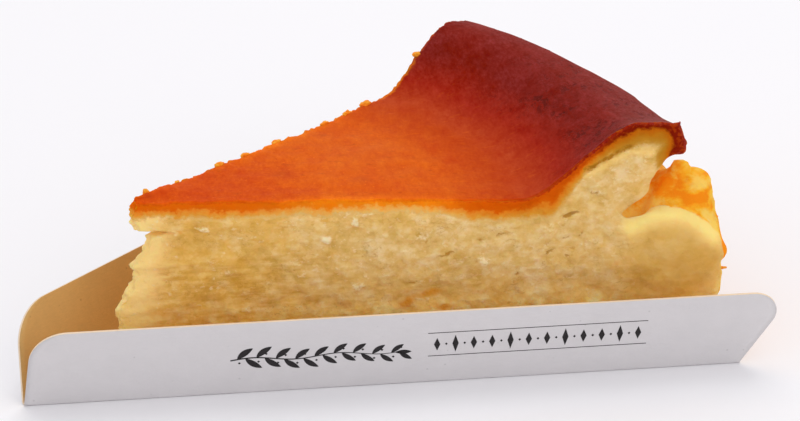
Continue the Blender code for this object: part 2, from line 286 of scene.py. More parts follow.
LUMPS = (
    (40.8, 31.0, 1.0, 0.9, 15, 0.8), (72.8, 24.5, 1.2, 0.9, -40, 0.6),
    (46.7, 34.6, 0.8, 1.3, 25, 0.5), (49.2, 36.6, 1.4, 0.6, 0, 0.5),
    (43.6, 37.2, 0.8, 0.7, 60, 0.5), (46.5, 20.3, 1.1, 0.8, 40, 0.5),
    (20.9, 25.2, 1.2, 0.6, 0, 0.4), (15.7, 34.9, 1.9, 0.6, -8, 0.45),
    (16.9, 38.2, 0.8, 1.2, 20, 0.5), (24.2, 16.4, 2.4, 1.0, 0, 0.3),
    (34.9, 26.4, 2.2, 0.8, 5, 0.3), (96.9, 38.6, 1.2, 0.8, 0, 0.3),
    (60.0, 31.0, 2.0, 1.0, 20, 0.3), (86.5, 31.6, 2.0, 0.9, 10, 0.3),
)
STAINS = (
    (57.0, 16.1, 2.1, 1.3, 30, 1.0), (61.8, 17.9, 2.9, 1.0, 12, 0.9),
    (64.6, 14.7, 2.4, 0.8, -6, 0.9), (100.4, 22.7, 1.5, 0.9, 12, 0.5),
    (10.3, 34.6, 0.8, 0.5, 0, 0.5), (26.0, 31.9, 1.2, 0.4, -15, 0.45),
    (28.6, 31.3, 0.5, 0.8, 20, 0.45), (32.3, 36.4, 0.5, 0.7, 0, 0.5),
    (40.6, 35.2, 0.7, 0.5, 0, 0.5), (9.6, 30.6, 1.0, 0.4, 15, 0.4),
)

# Darker spots on the wall: turn in degrees, place up the wall, size in mm, strength
WALL_SPOTS = (
    (2.2, 0.46, 2.0, 0.8), (1.6, 0.47, 1.5, 0.8), (3.3, 0.455, 1.6, 0.6),
    (1.2, 0.40, 1.5, 0.9), (1.0, 0.415, 1.3, 0.7), (1.5, 0.375, 1.5, 0.8),
    (0.0, 0.27, 1.6, 1.5), (2.2, 0.41, 1.9, -0.9), (0.7, 0.36, 1.8, -0.6),
    (0.2, 0.06, 3.0, -1.0), (0.3, 0.14, 2.5, -0.9), (0.0, 0.33, 1.6, -0.8),
    (0.0, 0.57, 3.0, -0.6),
)
# Burnt spots on the skin: radius, turn in degrees, size in mm, strength
SKIN_SPOTS = ((6.0, 30.0, 1.1, 0.8), (36.0, 25.0, 2.2, 0.3), (50.0, 12.0, 1.8, 0.25))

# How burnt the skin is, from 0 to 1, at these radii in millimetres
BURN_RADII = (42.0, 54.0, 66.0, 97.0)
BURN_STAGES = (0.0, 0.05, 0.07, 1.0)
# Fades of the finish: where each starts and where it is full, in millimetres out from
# the apex, in millimetres up, and then in radians round from the near cut
RADIUS_FADES = {
    "tip": (10.5, 4.5), "tip_side": (48.0, 18.0), "drag": (60.0, 30.0),
    "far_edge": (74.0, 84.0), "before_rim": (99.0, 90.0), "pitted": (86.0, 97.0),
    # The dull grey-violet tint near the lip is a painted sheen, standing in for the burnt rim's
    # grazing reflection
    "bloom": (99.0, 112.0),
}
# The foot fade lightens the cut low down: painted light where the near flap shades it
HEIGHT_FADES = {"foot": (22.0, 8.0), "lowness": (34.0, 6.0), "low_half": (33.0, 24.0)}
BROWNED_TURNS = (math.radians(5.0), math.radians(13.0))
PITS_END_TURNS = (math.radians(22.0), math.radians(36.0))
# How fast the painted sheen near the lip fades round from the near cut
PAINTED_SHEEN_SPREAD = math.radians(14.0)

# Crumbs on the far edge of the skin: radius, length and height in millimetres
EDGE_CRUMBS = (
    (6.3, 1.0, 1.8), (15.3, 1.2, 0.6), (27.9, 2.4, 1.3), (35.8, 2.4, 1.1),
    (46.0, 2.6, 1.2), (62.1, 2.8, 1.2), (70.1, 2.5, 1.5), (76.6, 2.9, 2.3),
    (97.2, 1.8, 1.7),
)
# Crumbs on the wall: turn in degrees, place up the wall, length and height
WALL_CRUMBS = ((0.15, 0.175, 2.6, 0.7), (2.0, 0.31, 0.8, 0.7), (4.5, 0.24, 0.8, 0.6))
CRUMB_SEED = 11

# Printed ornament
LEAF_STEPS = 14
FINEST_LINE = 0.02 * MM

# Stage: half the floor's side, what the lamps shine at, and where the camera looks,
# counted from the point where the card's folds meet
FLOOR_HALF = 3.0
LIGHT_TARGET = Vector((0.0, 0.0, 0.03))
CAMERA_TARGET = Vector((78.765, 0.0, 39.038)) * MM


def lerp(start, end, share):
    return start + (end - start) * share


def smooth_step(start, end, value):
    share = np.clip((value - start) / (end - start), 0.0, 1.0)
    return share * share * (3.0 - 2.0 * share)


def stacked(*values):
    """Arrays side by side, as one row for each point."""
    return np.stack(values, axis=1)


def spline(points, place):
    """Points at place (0 to 1) on smooth curves, a row of curve points for each."""
    last = points.shape[1] - 1
    index = np.minimum((place * last).astype(int), last - 1)
    share = (place * last - index)[:, None]
    rows = np.arange(len(place))
    before = points[rows, np.maximum(index - 1, 0)]
    here = points[rows, index]
    after = points[rows, index + 1]
    beyond = points[rows, np.minimum(index + 2, last)]
    square = share * share
    cube = square * share
    return (
        here * (2.0 * cube - 3.0 * square + 1.0)
        + (after - before) * 0.5 * (cube - 2.0 * square + share)
        + after * (3.0 * square - 2.0 * cube)
        + (beyond - here) * 0.5 * (cube - square)
    )


def relief(points, size, depth, octaves=3):
    """Smooth uneven heights at an array of points, for bumps of this size and depth."""
    heights = [noise.fractal(Vector(point), 1.0, 2.0, octaves) for point in points / size]
    return np.array(heights) * depth


class Slice:
    """The shape of the solid slice: methods take and give arrays, one item a point."""

    def crest_height(self, turn):
        at_cut = CREST_LIFT_AT_CUT * np.exp(-turn / CREST_LIFT_SPREAD)
        far = CREST_LIFT_FAR * smooth_step(0.5 * SLICE_ANGLE, SLICE_ANGLE, turn)
        return CREST_HEIGHT + at_cut + far

    def wall_outline(self, turn):
        to_ledge = smooth_step(0.0, LEDGE_TURN, turn)[:, None, None]
        to_round = smooth_step(LEDGE_TURN, ROUND_TURN, turn)[:, None, None]
        cut, ledge, rest = (
            np.array(wall) * MM for wall in (WALL_AT_CUT, WALL_AT_LEDGE, WALL_ROUND)
        )
        points = lerp(lerp(cut, ledge, to_ledge), rest, to_round)
        lift = self.crest_height(turn) - LIP_ROLL - points[:, -1, 1]
        share = np.clip(
            1.0 + (np.arange(len(cut)) - len(cut) + 1) / WALL_POINTS_OF_CAP, 0.0, 1.0
        )
        points[:, :, 1] += lift[:, None] * share
        return points

    def top_height(self, radius, turn):
        across = turn / SLICE_ANGLE
        drop = lerp(VALLEY_DROP_NEAR, VALLEY_DROP_FAR, across)
        sunk = TIP_TOP - drop * np.minimum(radius / VALLEY_RADIUS, 1.0) ** VALLEY_CURVE
        rise_start = lerp(RISE_START_NEAR, RISE_START_FAR, across)
        crest_radius = lerp(CREST_RADIUS_NEAR, CREST_RADIUS_FAR, across)
        height = lerp(
            sunk, self.crest_height(turn), smooth_step(rise_start, crest_radius, radius)
        )
        lip_radius = self.wall_outline(turn)[:, -1, 0]
        roll = np.maximum(radius - crest_radius, 0.0) / (lip_radius - crest_radius)
        return height - LIP_ROLL * roll * roll

    def wall_point(self, turn, up):
        point = spline(self.wall_outline(turn), up)
        places = stacked(turn / PLEAT_SIZE, point[:, 1] / PLEAT_HEIGHT)
        pleat = np.array([noise.noise(Vector((*place, PLEAT_ROW))) for place in places])
        away_from_cut = smooth_step(0.0, LEDGE_TURN * 2.0, turn)
        below_lip = 1.0 - smooth_step(0.6, 1.0, up)
        depth = PLEAT_DEPTH * lerp(PLEAT_SHARE_AT_LIP, 1.0, below_lip)
        point[:, 0] += depth * pleat * away_from_cut
        return point

    def section(self, along, turn, up):
        """Radius, height and distance to the wall in the upright section at a turn."""
        row = 1.0 - (1.0 - up) ** ROW_CROWDING
        straight = lerp(TIP_RADIUS, STRAIGHT_RADIUS, along / STRAIGHT_SHARE)
        straight_height = lerp(BOTTOM_HEIGHT, self.top_height(straight, turn), row)
        share = np.clip((along - STRAIGHT_SHARE) / (1.0 - STRAIGHT_SHARE), 0.0, 1.0)
        bent_share = share ** ROW_BEND
        wall = self.wall_point(turn, up)
        lip = self.wall_outline(turn)[:, -1]
        inner_top = self.top_height(np.full_like(turn, STRAIGHT_RADIUS), turn)
        height = lerp(lerp(BOTTOM_HEIGHT, inner_top, row), wall[:, 1], bent_share)
        skin = self.top_height(lerp(STRAIGHT_RADIUS, lip[:, 0], share), turn)
        height += (skin - lerp(inner_top, lip[:, 1], bent_share)) * row ** 3
        bent = along > STRAIGHT_SHARE
        radius = np.where(bent, lerp(STRAIGHT_RADIUS, wall[:, 0], share), straight)
        height = np.where(bent, height, straight_height)
        to_wall = (1.0 - share) * (wall[:, 0] - STRAIGHT_RADIUS)
        return radius, height, np.where(bent, to_wall, EDGE_ROUND_WIDTH)

    def side_relief(self, radius, height, far_side, edge_distance):
        place = stacked(radius, height, far_side * FAR_SIDE_SHIFT)
        out = relief(place, CUT_WAVE_SIZE, CUT_WAVE)
        out += relief(place + (0.0, 0.0, CRUMB_SHIFT), CRUMB_SIZE, CRUMB)
        offset = np.hypot(radius - LOBE_CENTRE[0], height - LOBE_CENTRE[1]) / LOBE_SIZE
        out += np.where(far_side, 0.0, LOBE_BULGE * np.exp(-offset * offset))
        edge = 1.0 - np.minimum(edge_distance / EDGE_ROUND_WIDTH, 1.0)
        return out - EDGE_ROUND * edge * edge

    def tip_pull(self, radius, height, across):
        outline = np.array(TIP_OUTLINE) * MM
        share = np.interp(height, outline[:, 0], np.linspace(0.0, 1.0, len(outline)))
        curves = np.broadcast_to(outline, (len(share), *outline.shape))
        pull = spline(curves, share)[:, 1] - TIP_RADIUS * math.cos(0.5 * SLICE_ANGLE)
        off_middle = 2.0 * across - 1.0
        pull -= TIP_BULGE * (1.0 - off_middle * off_middle)
        notch_height, half, depth, reach = NOTCH
        notch = depth * np.exp(-((height - notch_height) / half) ** 2)
        past_tip = TIP_RADIUS - radius
        return pull * np.exp(past_tip / TIP_FADE) + notch * np.exp(past_tip / reach)

    def points(self, along, across, up):
        """Places before the slice is laid in its holder, with what they are made from."""
        turn = across * SLICE_ANGLE
        radius, height, edge_distance = self.section(along, turn, up)
        far_side = across >= 0.5
        out = self.side_relief(radius, height, far_side, edge_distance)
        out = out * (2.0 * across - 1.0)
        point = stacked(
            np.cos(turn) * radius - np.sin(turn) * out,
            np.sin(turn) * radius + np.cos(turn) * out,
            np.zeros_like(turn),
        )
        fade = 1.0 - smooth_step(STRAIGHT_RADIUS, CREST_RADIUS_FAR, radius)
        wave = relief(point, TOP_WAVE_SIZE, TOP_WAVE) * fade
        point[:, 2] = height + wave * (1.0 - (1.0 - up) ** ROW_CROWDING)
        pull = self.tip_pull(radius, point[:, 2], across)
        point[:, 0] += math.cos(0.5 * SLICE_ANGLE) * pull
        point[:, 1] += math.sin(0.5 * SLICE_ANGLE) * pull
        return point, turn, radius


def lattice_shell(steps):
    """Places (i, j, k) on the outside of a box lattice, and the quads between them.

    The underside is left out, because one flat face closes it.
    """
    places = []
    quads = []
    for axis in range(3):
        first, second = (axis + 1) % 3, (axis + 2) % 3
        rows, columns = steps[first] + 1, steps[second] + 1
        u, v = np.meshgrid(np.arange(rows), np.arange(columns), indexing="ij")
        for end in (0, steps[axis]):
            if axis == 2 and end == 0:
                continue
            grid = np.zeros((u.size, 3), int)
            grid[:, axis] = end
            grid[:, first] = u.ravel()
            grid[:, second] = v.ravel()
            corner = (u[:-1, :-1] * columns + v[:-1, :-1]).ravel()
            quad = np.stack([corner, corner + columns, corner + columns + 1, corner + 1], 1)
            if end == 0:
                quad = quad[:, ::-1]
            quads.append(quad + sum(len(place) for place in places))
            places.append(grid)
    places = np.concatenate(places)
    quads = np.concatenate(quads)
    keys = places @ np.array([1, steps[0] + 1, (steps[0] + 1) * (steps[1] + 1)])
    keys, first, inverse = np.unique(keys, return_index=True, return_inverse=True)
    return places[first], inverse.reshape(-1)[quads]


def underside_loop(places, steps):
    """The lowest row of lattice places, in order round the slice, seen from below."""
    index = {tuple(place): number for number, place in enumerate(places) if place[2] == 0}
    last_along, last_across = steps[0], steps[1]
    loop = [(0, j) for j in range(last_across)]
    loop += [(i, last_across) for i in range(last_along)]
    loop += [(last_along, j) for j in range(last_across, 0, -1)]
    loop += [(i, 0) for i in range(last_along, 0, -1)]
    return [index[(i, j, 0)] for i, j in loop]


def along_at(radius):
    """The lattice's place along the slice at a radius in its straight part."""
    return STRAIGHT_SHARE * (radius - TIP_RADIUS) / (STRAIGHT_RADIUS - TIP_RADIUS)


def mark_shape(radius, height, mark):
    """How strongly points lie in one elongated mark, from 0 outside to 1 within it."""
    mark_radius, mark_height, half_length, half_width, tilt, _ = mark
    turned = math.radians(tilt)
    x = radius / MM - mark_radius
    y = height / MM - mark_height
    along = (x * math.cos(turned) + y * math.sin(turned)) / half_length
    across = (y * math.cos(turned) - x * math.sin(turned)) / half_width
    return np.exp(-((along * along + across * across) ** 1.5))


def marks_field(radius, height, marks):
    """All marks of one kind: the deepest at each point, times its own strength."""
    field = np.zeros_like(radius)
    for mark in marks:
        field = np.maximum(field, mark_shape(radius, height, mark) * mark[-1])
    return field


def scattered_marks(count, seed, rise):
    """Marks for the far cut, which is turned away: spread over it with a seeded draw."""
    draw = random.Random(seed)
    marks = []
    for _ in range(count):
        radius = draw.uniform(8.0, 108.0)
        height = draw.uniform(5.0, 33.0)
        length = draw.uniform(0.9, 2.4)
        marks.append((radius, height, length, length * draw.uniform(0.25, 0.5),
                      draw.uniform(-20.0, 50.0), rise * draw.uniform(0.5, 1.0)))
    return marks


def distance_to_path(radius, height, path):
    """Shortest distance from each point to the points of a path, in the section."""
    nearest = np.full(len(radius), np.inf)
    for point in path:
        nearest = np.minimum(nearest, np.hypot(radius - point[0], height - point[1]))
    return nearest


def path_field(radius, height, path, width):
    """1 on a line through the points of a path, in millimetres, and 0 away from it."""
    corners = np.array(path, float) * MM
    shares = np.linspace(0.0, 1.0, 13)
    line = [lerp(a, b, share) for a, b in zip(corners, corners[1:]) for share in shares]
    return np.exp(-(distance_to_path(radius, height, line) / width) ** 2)


class Value:
    """One node's output. Arithmetic on it adds Math nodes, so 1 - mask can be written."""

    def __init__(self, recipe, socket):
        self.recipe = recipe
        self.socket = socket

    def maths(self, operation, first, second=0.0, clamp=False):
        settings = {"operation": operation, "use_clamp": clamp}
        return self.recipe.node("ShaderNodeMath", settings, {0: first, 1: second})

    def __add__(self, other):
        return self.maths("ADD", self, other)

    def __radd__(self, other):
        return self.maths("ADD", other, self)

    def __sub__(self, other):
        return self.maths("SUBTRACT", self, other)

    def __rsub__(self, other):
        return self.maths("SUBTRACT", other, self)

    def __mul__(self, other):
        return self.maths("MULTIPLY", self, other)

    def __rmul__(self, other):
        return self.maths("MULTIPLY", other, self)

    def __truediv__(self, other):
        return self.maths("DIVIDE", self, other)

    def __abs__(self):
        return self.maths("ABSOLUTE", self)

    def larger(self, other):
        return self.maths("MAXIMUM", self, other)

    def clamped(self):
        return self.maths("ADD", self, 0.0, clamp=True)

    def step(self, low, high):
        """0 below low, 1 above high, smooth between them."""
        settings = {"interpolation_type": "SMOOTHSTEP"}
        sockets = {"Value": self, "From Min": low, "From Max": high}
        return self.recipe.node("ShaderNodeMapRange", settings, sockets)


class Recipe:
    """A material being written, a node at a time, from places on the object."""

    def __init__(self, name):
        self.material = bpy.data.materials.new(name)
        self.material.use_nodes = True
        self.tree = self.material.node_tree
        self.shader = self.tree.nodes["Principled BSDF"]
        self.place = self.node("ShaderNodeTexCoord", output="Object")

    def node(self, kind, settings=None, sockets=None, output=0):
        """Add a node: its settings first, then values or links for its sockets."""
        made = self.tree.nodes.new(kind)
        for name, setting in (settings or {}).items():
            if name == "stops":
                self.set_stops(made.color_ramp, setting)
            else:
                setattr(made, name, setting)
        for name, value in (sockets or {}).items():
            self.join(value, made.inputs[name])
        return Value(self, made.outputs[output])

    def join(self, value, socket):
        if isinstance(value, Value):
            self.tree.links.new(value.socket, socket)
        elif socket.type == "RGBA" and len(value) == 3:
            socket.default_value = (*value, 1.0)
        else:
            socket.default_value = value

    def set_stops(self, ramp, stops):
        while len(ramp.elements) < len(stops):
            ramp.elements.new(1.0)
        for element, (position, colour) in zip(ramp.elements, stops):
            element.position = position
            element.color = (*colour, 1.0)

    def finish(self, constants, **links):
        """Set the shader's constant sockets, and link what varies over the surface."""
        for name, value in constants.items():
            self.join(value, self.shader.inputs[name])
        for name, value in links.items():
            self.join(value, self.shader.inputs[name.replace("_", " ")])
        return self.material

    def attribute(self, name):
        return self.node("ShaderNodeAttribute", {"attribute_name": name}, output="Fac")

    def scaled_place(self, size, shift=0.0):
        """Places counted in millimetre lengths, one or three of them, along X, Y and Z."""
        sizes = size if isinstance(size, tuple) else (size, size, size)
        scaled = self.node(
            "ShaderNodeVectorMath", {"operation": "MULTIPLY"},
            {0: self.place, 1: tuple(1.0 / (length * MM) for length in sizes)},
        )
        return self.node(
            "ShaderNodeVectorMath", {"operation": "ADD"}, {0: scaled, 1: (shift,) * 3}
        )

    def noise(self, size, detail=2.0, roughness=0.5, shift=0.0, distortion=0.0):
        sockets = {
            "Vector": self.scaled_place(size, shift), "Scale": 1.0, "Detail": detail,
            "Roughness": roughness, "Distortion": distortion,
        }
        return self.node("ShaderNodeTexNoise", None, sockets)

    def uneven(self, *noise):
        """The same noise about 0."""
        return self.noise(*noise) - 0.5

    def flakes(self, size, ragged, shift=0.0):
        """A tone from 0 to 1 that stays the same over each small ragged flake.

        Each cell has a colour of its own, and the last Math node turns it into a tone.
        """
        place = self.scaled_place(size, shift)
        sockets = {"Vector": place, "Scale": 2.0, "Detail": 3.0}
        push = self.node("ShaderNodeTexNoise", None, sockets, output="Color")
        push = tint(self, push, ragged)
        place = self.node("ShaderNodeVectorMath", {"operation": "ADD"}, {0: place, 1: push})
        tone = self.node(
            "ShaderNodeTexVoronoi", None, {"Vector": place, "Scale": 1.0}, output="Color")
        return tone * 1.0

    def cells(self, size, shift):
        """Distance to the middle of the nearest cell."""
        sockets = {"Vector": self.scaled_place(size, shift), "Scale": 1.0}
        return self.node("ShaderNodeTexVoronoi", None, sockets, output="Distance")

    def ramp(self, value, stops):
        return self.node("ShaderNodeValToRGB", {"stops": stops}, {"Fac": value})

    def blend(self, share, first, second, mode="MIX"):
        settings = {"data_type": "RGBA", "blend_type": mode, "clamp_factor": True}
        return self.node("ShaderNodeMix", settings, {0: share, 6: first, 7: second}, 2)

    def bump(self, height_in_mm, strength=1.0):
        sockets = {"Height": height_in_mm, "Distance": MM, "Strength": strength}
        return self.node("ShaderNodeBump", None, sockets)


def tint(recipe, colour, value):
    """A colour made lighter or darker by a value."""
    return recipe.node(
        "ShaderNodeVectorMath", {"operation": "SCALE"}, {0: colour, "Scale": value}
    )


def shaded(recipe, colour, amount, shares=(0.35, 1.3, 2.4)):
    """A colour made lighter or darker, its green and blue more than its red."""
    sockets = {index: 1.0 + amount * share for index, share in enumerate(shares)}
    factors = recipe.node("ShaderNodeCombineXYZ", None, sockets)
    settings = {"operation": "MULTIPLY"}
    return recipe.node("ShaderNodeVectorMath", settings, {0: colour, 1: factors})


def crumb_colour(recipe, looks):
    """Colour and height of the cut cheese, away from its baked edges."""
    tear, lump = recipe.attribute("tear"), recipe.attribute("lump")
    stain, low = recipe.attribute("stain"), recipe.attribute("lowness")
    rough = 1.0 - recipe.attribute("calm") * 0.65
    soft = recipe.uneven((9.0, 9.0, 6.0), 3.0, 0.6, 1.3)
    clumps = recipe.uneven((2.6, 2.6, 2.1), 4.0, 0.6, 4.1)
    curds = recipe.flakes((1.6, 1.6, 1.2), 0.9, 8.6) - 0.5
    bits = recipe.flakes((0.6, 0.6, 0.45), 0.8, 28.6) - 0.5
    grain = recipe.uneven(0.5, 3.0, 0.6, 7.7)
    drag = recipe.uneven((6.5, 6.5, 0.8), 3.0, 0.55, 2.2)
    tone = clumps * 0.58 + curds * 0.15 + bits * 0.05 + grain * 0.06
    tone = 0.52 + soft * 0.5 + tone * rough + drag * (recipe.attribute("drag") * 0.4 + 0.04)
    crumb = recipe.ramp(tone, (
        (0.3, looks.crumb_shade), (0.5, looks.crumb), (0.68, looks.crumb_light),
    ))
    pink = recipe.noise(6.0, 2.0, 0.5, 12.0).step(0.42, 0.66)
    tip_side = recipe.attribute("tip_side")
    # Warmer and more golden low down, partly painted warm light bounced from the flap's kraft
    # inside; more golden towards the tip side, less in random pink patches
    warm = (low * 0.2 + tip_side * 0.75 + 0.17 - pink * 0.5).clamped()
    golden = recipe.blend(1.0, crumb, looks.golden, "MULTIPLY")
    crumb = recipe.blend(warm, crumb, golden)
    dense = recipe.blend(1.0, crumb, looks.dense, "MULTIPLY")
    crumb = recipe.blend(recipe.attribute("calm") * 0.7, crumb, dense)
    # Paler and brighter at the thin tip: partly the tip's own paler cheese, partly painted light
    # shining through the thin cheese
    crumb = recipe.blend(recipe.attribute("tip") * 0.9, crumb, looks.tip)
    by_band = 1.0 - recipe.attribute("skin_depth").step(3.5, 8.0)
    by_band = by_band * (1.0 - recipe.attribute("toast") * 1.8).clamped()
    # Painted light: the cut is lighter low down, more in green and less in blue, where the near
    # flap shades it, less so towards the tip
    foot = recipe.attribute("foot") * (0.42 - tip_side * 0.14)
    crumb = shaded(recipe, crumb, foot, (1.0, 1.15, 0.7))
    crumb = tint(recipe, crumb, 1.0 + by_band * 0.11 + recipe.attribute("tip") * 0.08)

    # Thin crevices are darkened with the tears' colour: painted shade in them
    sparse = recipe.noise(5.0, 2.0, 0.5, 21.0)
    thread = recipe.uneven((2.4, 2.4, 1.1), 2.0, 0.55, 15.0, 0.8)
    crevice = 1.0 - abs(thread).step(0.004, 0.014)
    crevice = crevice * sparse.step(0.5, 0.6) * rough * (1.0 - recipe.attribute("tip"))
    crumb = recipe.blend(crevice * 0.45, crumb, looks.tear)
    pale = recipe.noise((1.5, 1.5, 1.0), 3.0, 0.6, 35.0).step(0.58, 0.68)
    pale = pale * recipe.noise(5.0, 2.0, 0.5, 31.0).step(0.46, 0.58)
    pale = pale * (1.0 - recipe.attribute("calm"))
    crumb = recipe.blend(pale * 0.45, crumb, looks.lump)
    ragged = grain * 0.7 + bits * 0.3
    # Pale ridge under the cap's crack, and a painted highlight along the lobe's rounded top, made
    # lighter again by the tint below
    ridge = recipe.attribute("ridge")
    crumb = recipe.blend(ridge * 0.9, crumb, looks.ridge)
    crumb = tint(recipe, crumb, 1.0 + ridge * 0.09)
    lump = lump + (ragged * 0.9 + clumps) * lump.step(0.02, 0.25)
    crumb = recipe.blend(lump.step(0.02, 0.65), crumb, looks.lump)
    # Darker inside the tears: painted shade in these small recesses
    torn = (tear + ragged * 0.5 * tear.step(0.01, 0.1)).step(0.1, 0.3)
    crumb = recipe.blend(torn * 0.75, crumb, looks.tear)
    stain = stain + (ragged * 0.4 + clumps * 0.7) * stain.step(0.02, 0.3)
    crumb = recipe.blend(stain.step(0.0, 1.05) * 0.85, crumb, looks.stain)
    height = (clumps * 0.9 + curds * 0.2 + bits * 0.06 + grain * 0.16) * rough
    height = height - crevice * 0.25
    return crumb, height + pale * 0.15


def torn_colour(recipe, looks):
    """Colour of the torn, baked crumb inside the crack and on the ledge."""
    patch = recipe.noise((2.6, 2.6, 2.0), 4.0, 0.62, 41.0)
    return recipe.ramp(patch - recipe.attribute("spot") * 0.2, (
        (0.34, looks.torn_dark), (0.46, looks.torn), (0.58, looks.torn_pale),
    ))


def baked_colour(recipe, looks, crumb):
    """The cut's colour with the baked bands below the skin and beside the wall."""
    toast = recipe.attribute("toast")
    wobble = recipe.uneven(1.9, 3.0, 0.55, 9.1)
    drip = recipe.uneven((4.5, 4.5, 5.0), 3.0, 0.55, 5.5)
    speck = recipe.uneven(0.6, 2.0, 0.6, 6.4)
    bits = recipe.flakes((0.7, 0.7, 0.5), 0.9, 16.0) - 0.5
    uneven = wobble * 2.3 + drip * 3.4 + speck * 0.7 + bits * 0.6
    uneven = uneven * (1.0 - toast * 0.45)
    below = (recipe.attribute("skin_depth") + uneven) / recipe.attribute("bake")
    bright = recipe.ramp(below, (
        (0.0, looks.band), (0.34, looks.band_orange), (0.52, looks.band_gold),
        (0.74, looks.band_low), (0.92, looks.crumb),
    ))
    middle = recipe.ramp(below, (
        (0.0, looks.band_deep), (0.40, looks.band_deep), (0.51, looks.glow),
        (0.72, looks.glow_low), (0.94, looks.crumb),
    ))
    burnt = recipe.ramp(below, (
        (0.0, looks.rim_edge), (0.26, looks.rim_edge), (0.37, looks.rim_glow),
        (0.51, looks.rim_under), (0.74, looks.rim_ochre), (1.0, looks.crumb_shade),
    ))
    ember = (bits + 0.5).step(0.52, 0.62) * (1.0 - below.step(0.1, 0.36))
    burnt = recipe.blend(ember * 0.4, burnt, looks.ember)
    baked = recipe.blend(toast * 2.0, bright, middle)
    baked = recipe.blend(toast * 2.0 - 1.0, baked, burnt)
    cut = recipe.blend(1.0 - below.step(0.84, 1.04), crumb, baked)
    # Darker ochre in the cap's crack: painted shade in its groove
    crack = recipe.attribute("cap_crack")
    crack = crack + (speck * 1.2 + bits * 0.6 + wobble) * crack.step(0.02, 0.3)
    cut = recipe.blend(crack.step(0.2, 0.8) * 0.95, cut, looks.cap_crack)

    patch = recipe.noise((6.0, 6.0, 3.0), 4.0, 0.6, 11.0)
    crust = recipe.ramp(patch + recipe.attribute("spot") * 0.25, (
        (0.36, looks.crust_light), (0.5, looks.crust), (0.62, looks.crust_dark),
    ))
    pleat = recipe.noise((3.0, 3.0, 9.0), 4.0, 0.6, 81.0)
    blotch = recipe.noise((7.0, 7.0, 9.0), 4.0, 0.6, 86.0)
    browned = recipe.ramp(pleat * 0.45 + blotch * 0.55, (
        (0.34, looks.wall_pale), (0.5, looks.wall_golden), (0.66, looks.wall_brown),
    ))
    crust = recipe.blend(recipe.attribute("round"), crust, browned)
    inward = recipe.attribute("wall_depth") - recipe.attribute("spot").larger(0.0) * 1.3
    crusted = 1.0 - (inward + wobble * 0.8).step(0.0, 0.45)
    cut = recipe.blend(crusted, cut, crust)
    torn = (recipe.attribute("torn") + (wobble + speck) * 0.5).step(0.3, 0.6)
    return recipe.blend(torn, cut, torn_colour(recipe, looks))


def skin_colour(recipe, looks):
    """Colour and height of the burnt skin, amber in the middle and dark at the rim."""
    burn = recipe.attribute("burn")
    to_cut = recipe.attribute("to_cut")
    pits = recipe.noise((1.2, 2.1, 1.2), 2.0, 0.6, 3.3)
    fold = recipe.uneven((2.0, 3.0, 2.0), 3.0, 0.6, 6.1, 0.6)
    wrinkles = 1.0 - abs(fold).step(0.008, 0.03)
    mottle = recipe.noise(5.0, 4.0, 0.6, 8.0)
    flecks = recipe.uneven((1.8, 4.2, 1.8), 3.0, 0.65, 28.0)
    cloud = recipe.noise(16.0, 2.0, 0.5, 18.0)
    burnt = burn + (cloud - 0.5) * 0.16 + (mottle - 0.5) * 0.08
    skin = recipe.ramp(burnt, (
        (0.0, looks.skin), (0.26, looks.skin_amber), (0.42, looks.skin_copper),
        (0.58, looks.skin_russet), (0.76, looks.skin_brown), (1.0, looks.skin_burnt),
    ))
    skin = recipe.blend(recipe.attribute("tip_side"), skin, looks.skin_tip)
    rim = burn.step(0.5, 1.0)
    shade = (mottle - 0.5) * 0.6 + (cloud - 0.5) * 0.3 + flecks * 0.8
    skin = shaded(recipe, skin, shade * (1.0 + rim * 1.3) - 0.02)
    skin = recipe.blend((recipe.attribute("spot") * 0.9).clamped(), skin, looks.skin_brown)
    spots = recipe.noise((3.6, 2.2, 3.0), 3.0, 0.65, 14.0).step(0.6, 0.7)
    skin = recipe.blend(spots * (1.0 - rim) * 0.5, skin, looks.skin_copper)
    streak = recipe.noise((4.0, 0.7, 2.0), 2.0, 0.5, 24.0).step(0.62, 0.72)
    skin = recipe.blend(streak * (1.0 - rim) * 0.12, skin, looks.band)
    # Painted sheen: the skin near the lip is tinted grey-violet where the rim would catch a
    # grazing reflection
    skin = recipe.blend(recipe.attribute("bloom") * 0.7, skin, looks.bloom)
    grouped = recipe.noise(8.0, 2.0, 0.5, 70.0).step(0.44, 0.62)
    where = recipe.attribute("pitted") * (grouped * 0.7 + 0.2)
    pitted = (pits.step(0.54, 0.6) + wrinkles * 0.6).clamped() * where
    skin = recipe.blend(pitted * 0.85, skin, looks.pit)
    ragged = (recipe.noise(2.4, 3.0, 0.65, 17.0) - 0.5) * 2.6
    at_edge = 1.0 - (to_cut + ragged - recipe.attribute("far_edge")).step(0.1, 1.0)
    by_edge = 1.0 - (to_cut + ragged * 0.6).step(0.4, 3.2)
    ember = recipe.flakes((0.8, 0.8, 0.8), 0.9, 51.0).step(0.5, 0.6)
    gold = recipe.ramp(burn, (
        (0.0, looks.skin_edge), (0.14, looks.edge_deep), (0.5, looks.edge_dark),
        (0.9, looks.rim_edge_top),
    ))
    gold = recipe.blend(recipe.attribute("tip_side"), gold, looks.edge_deep)
    gold = recipe.blend(ember * rim * 0.5, gold, looks.ember)
    gold = recipe.blend(recipe.attribute("far_edge"), gold, looks.band_orange)
    bright = (1.0 - burn.step(0.0, 0.2)) * (1.0 - recipe.attribute("tip_side") * 0.6)
    skin = recipe.blend(by_edge * bright * 0.55, skin, gold)
    skin = recipe.blend(at_edge * 0.75, skin, gold)
    fine = recipe.uneven((0.6, 1.4, 0.6), 2.0, 0.6, 44.0)
    skin = shaded(recipe, skin, fine * (0.6 + rim * 0.8))
    height = mottle * 0.2 + fine * 0.05 + flecks * 0.15 + rim * pits * 0.12
    return skin, height - pitted * 0.25


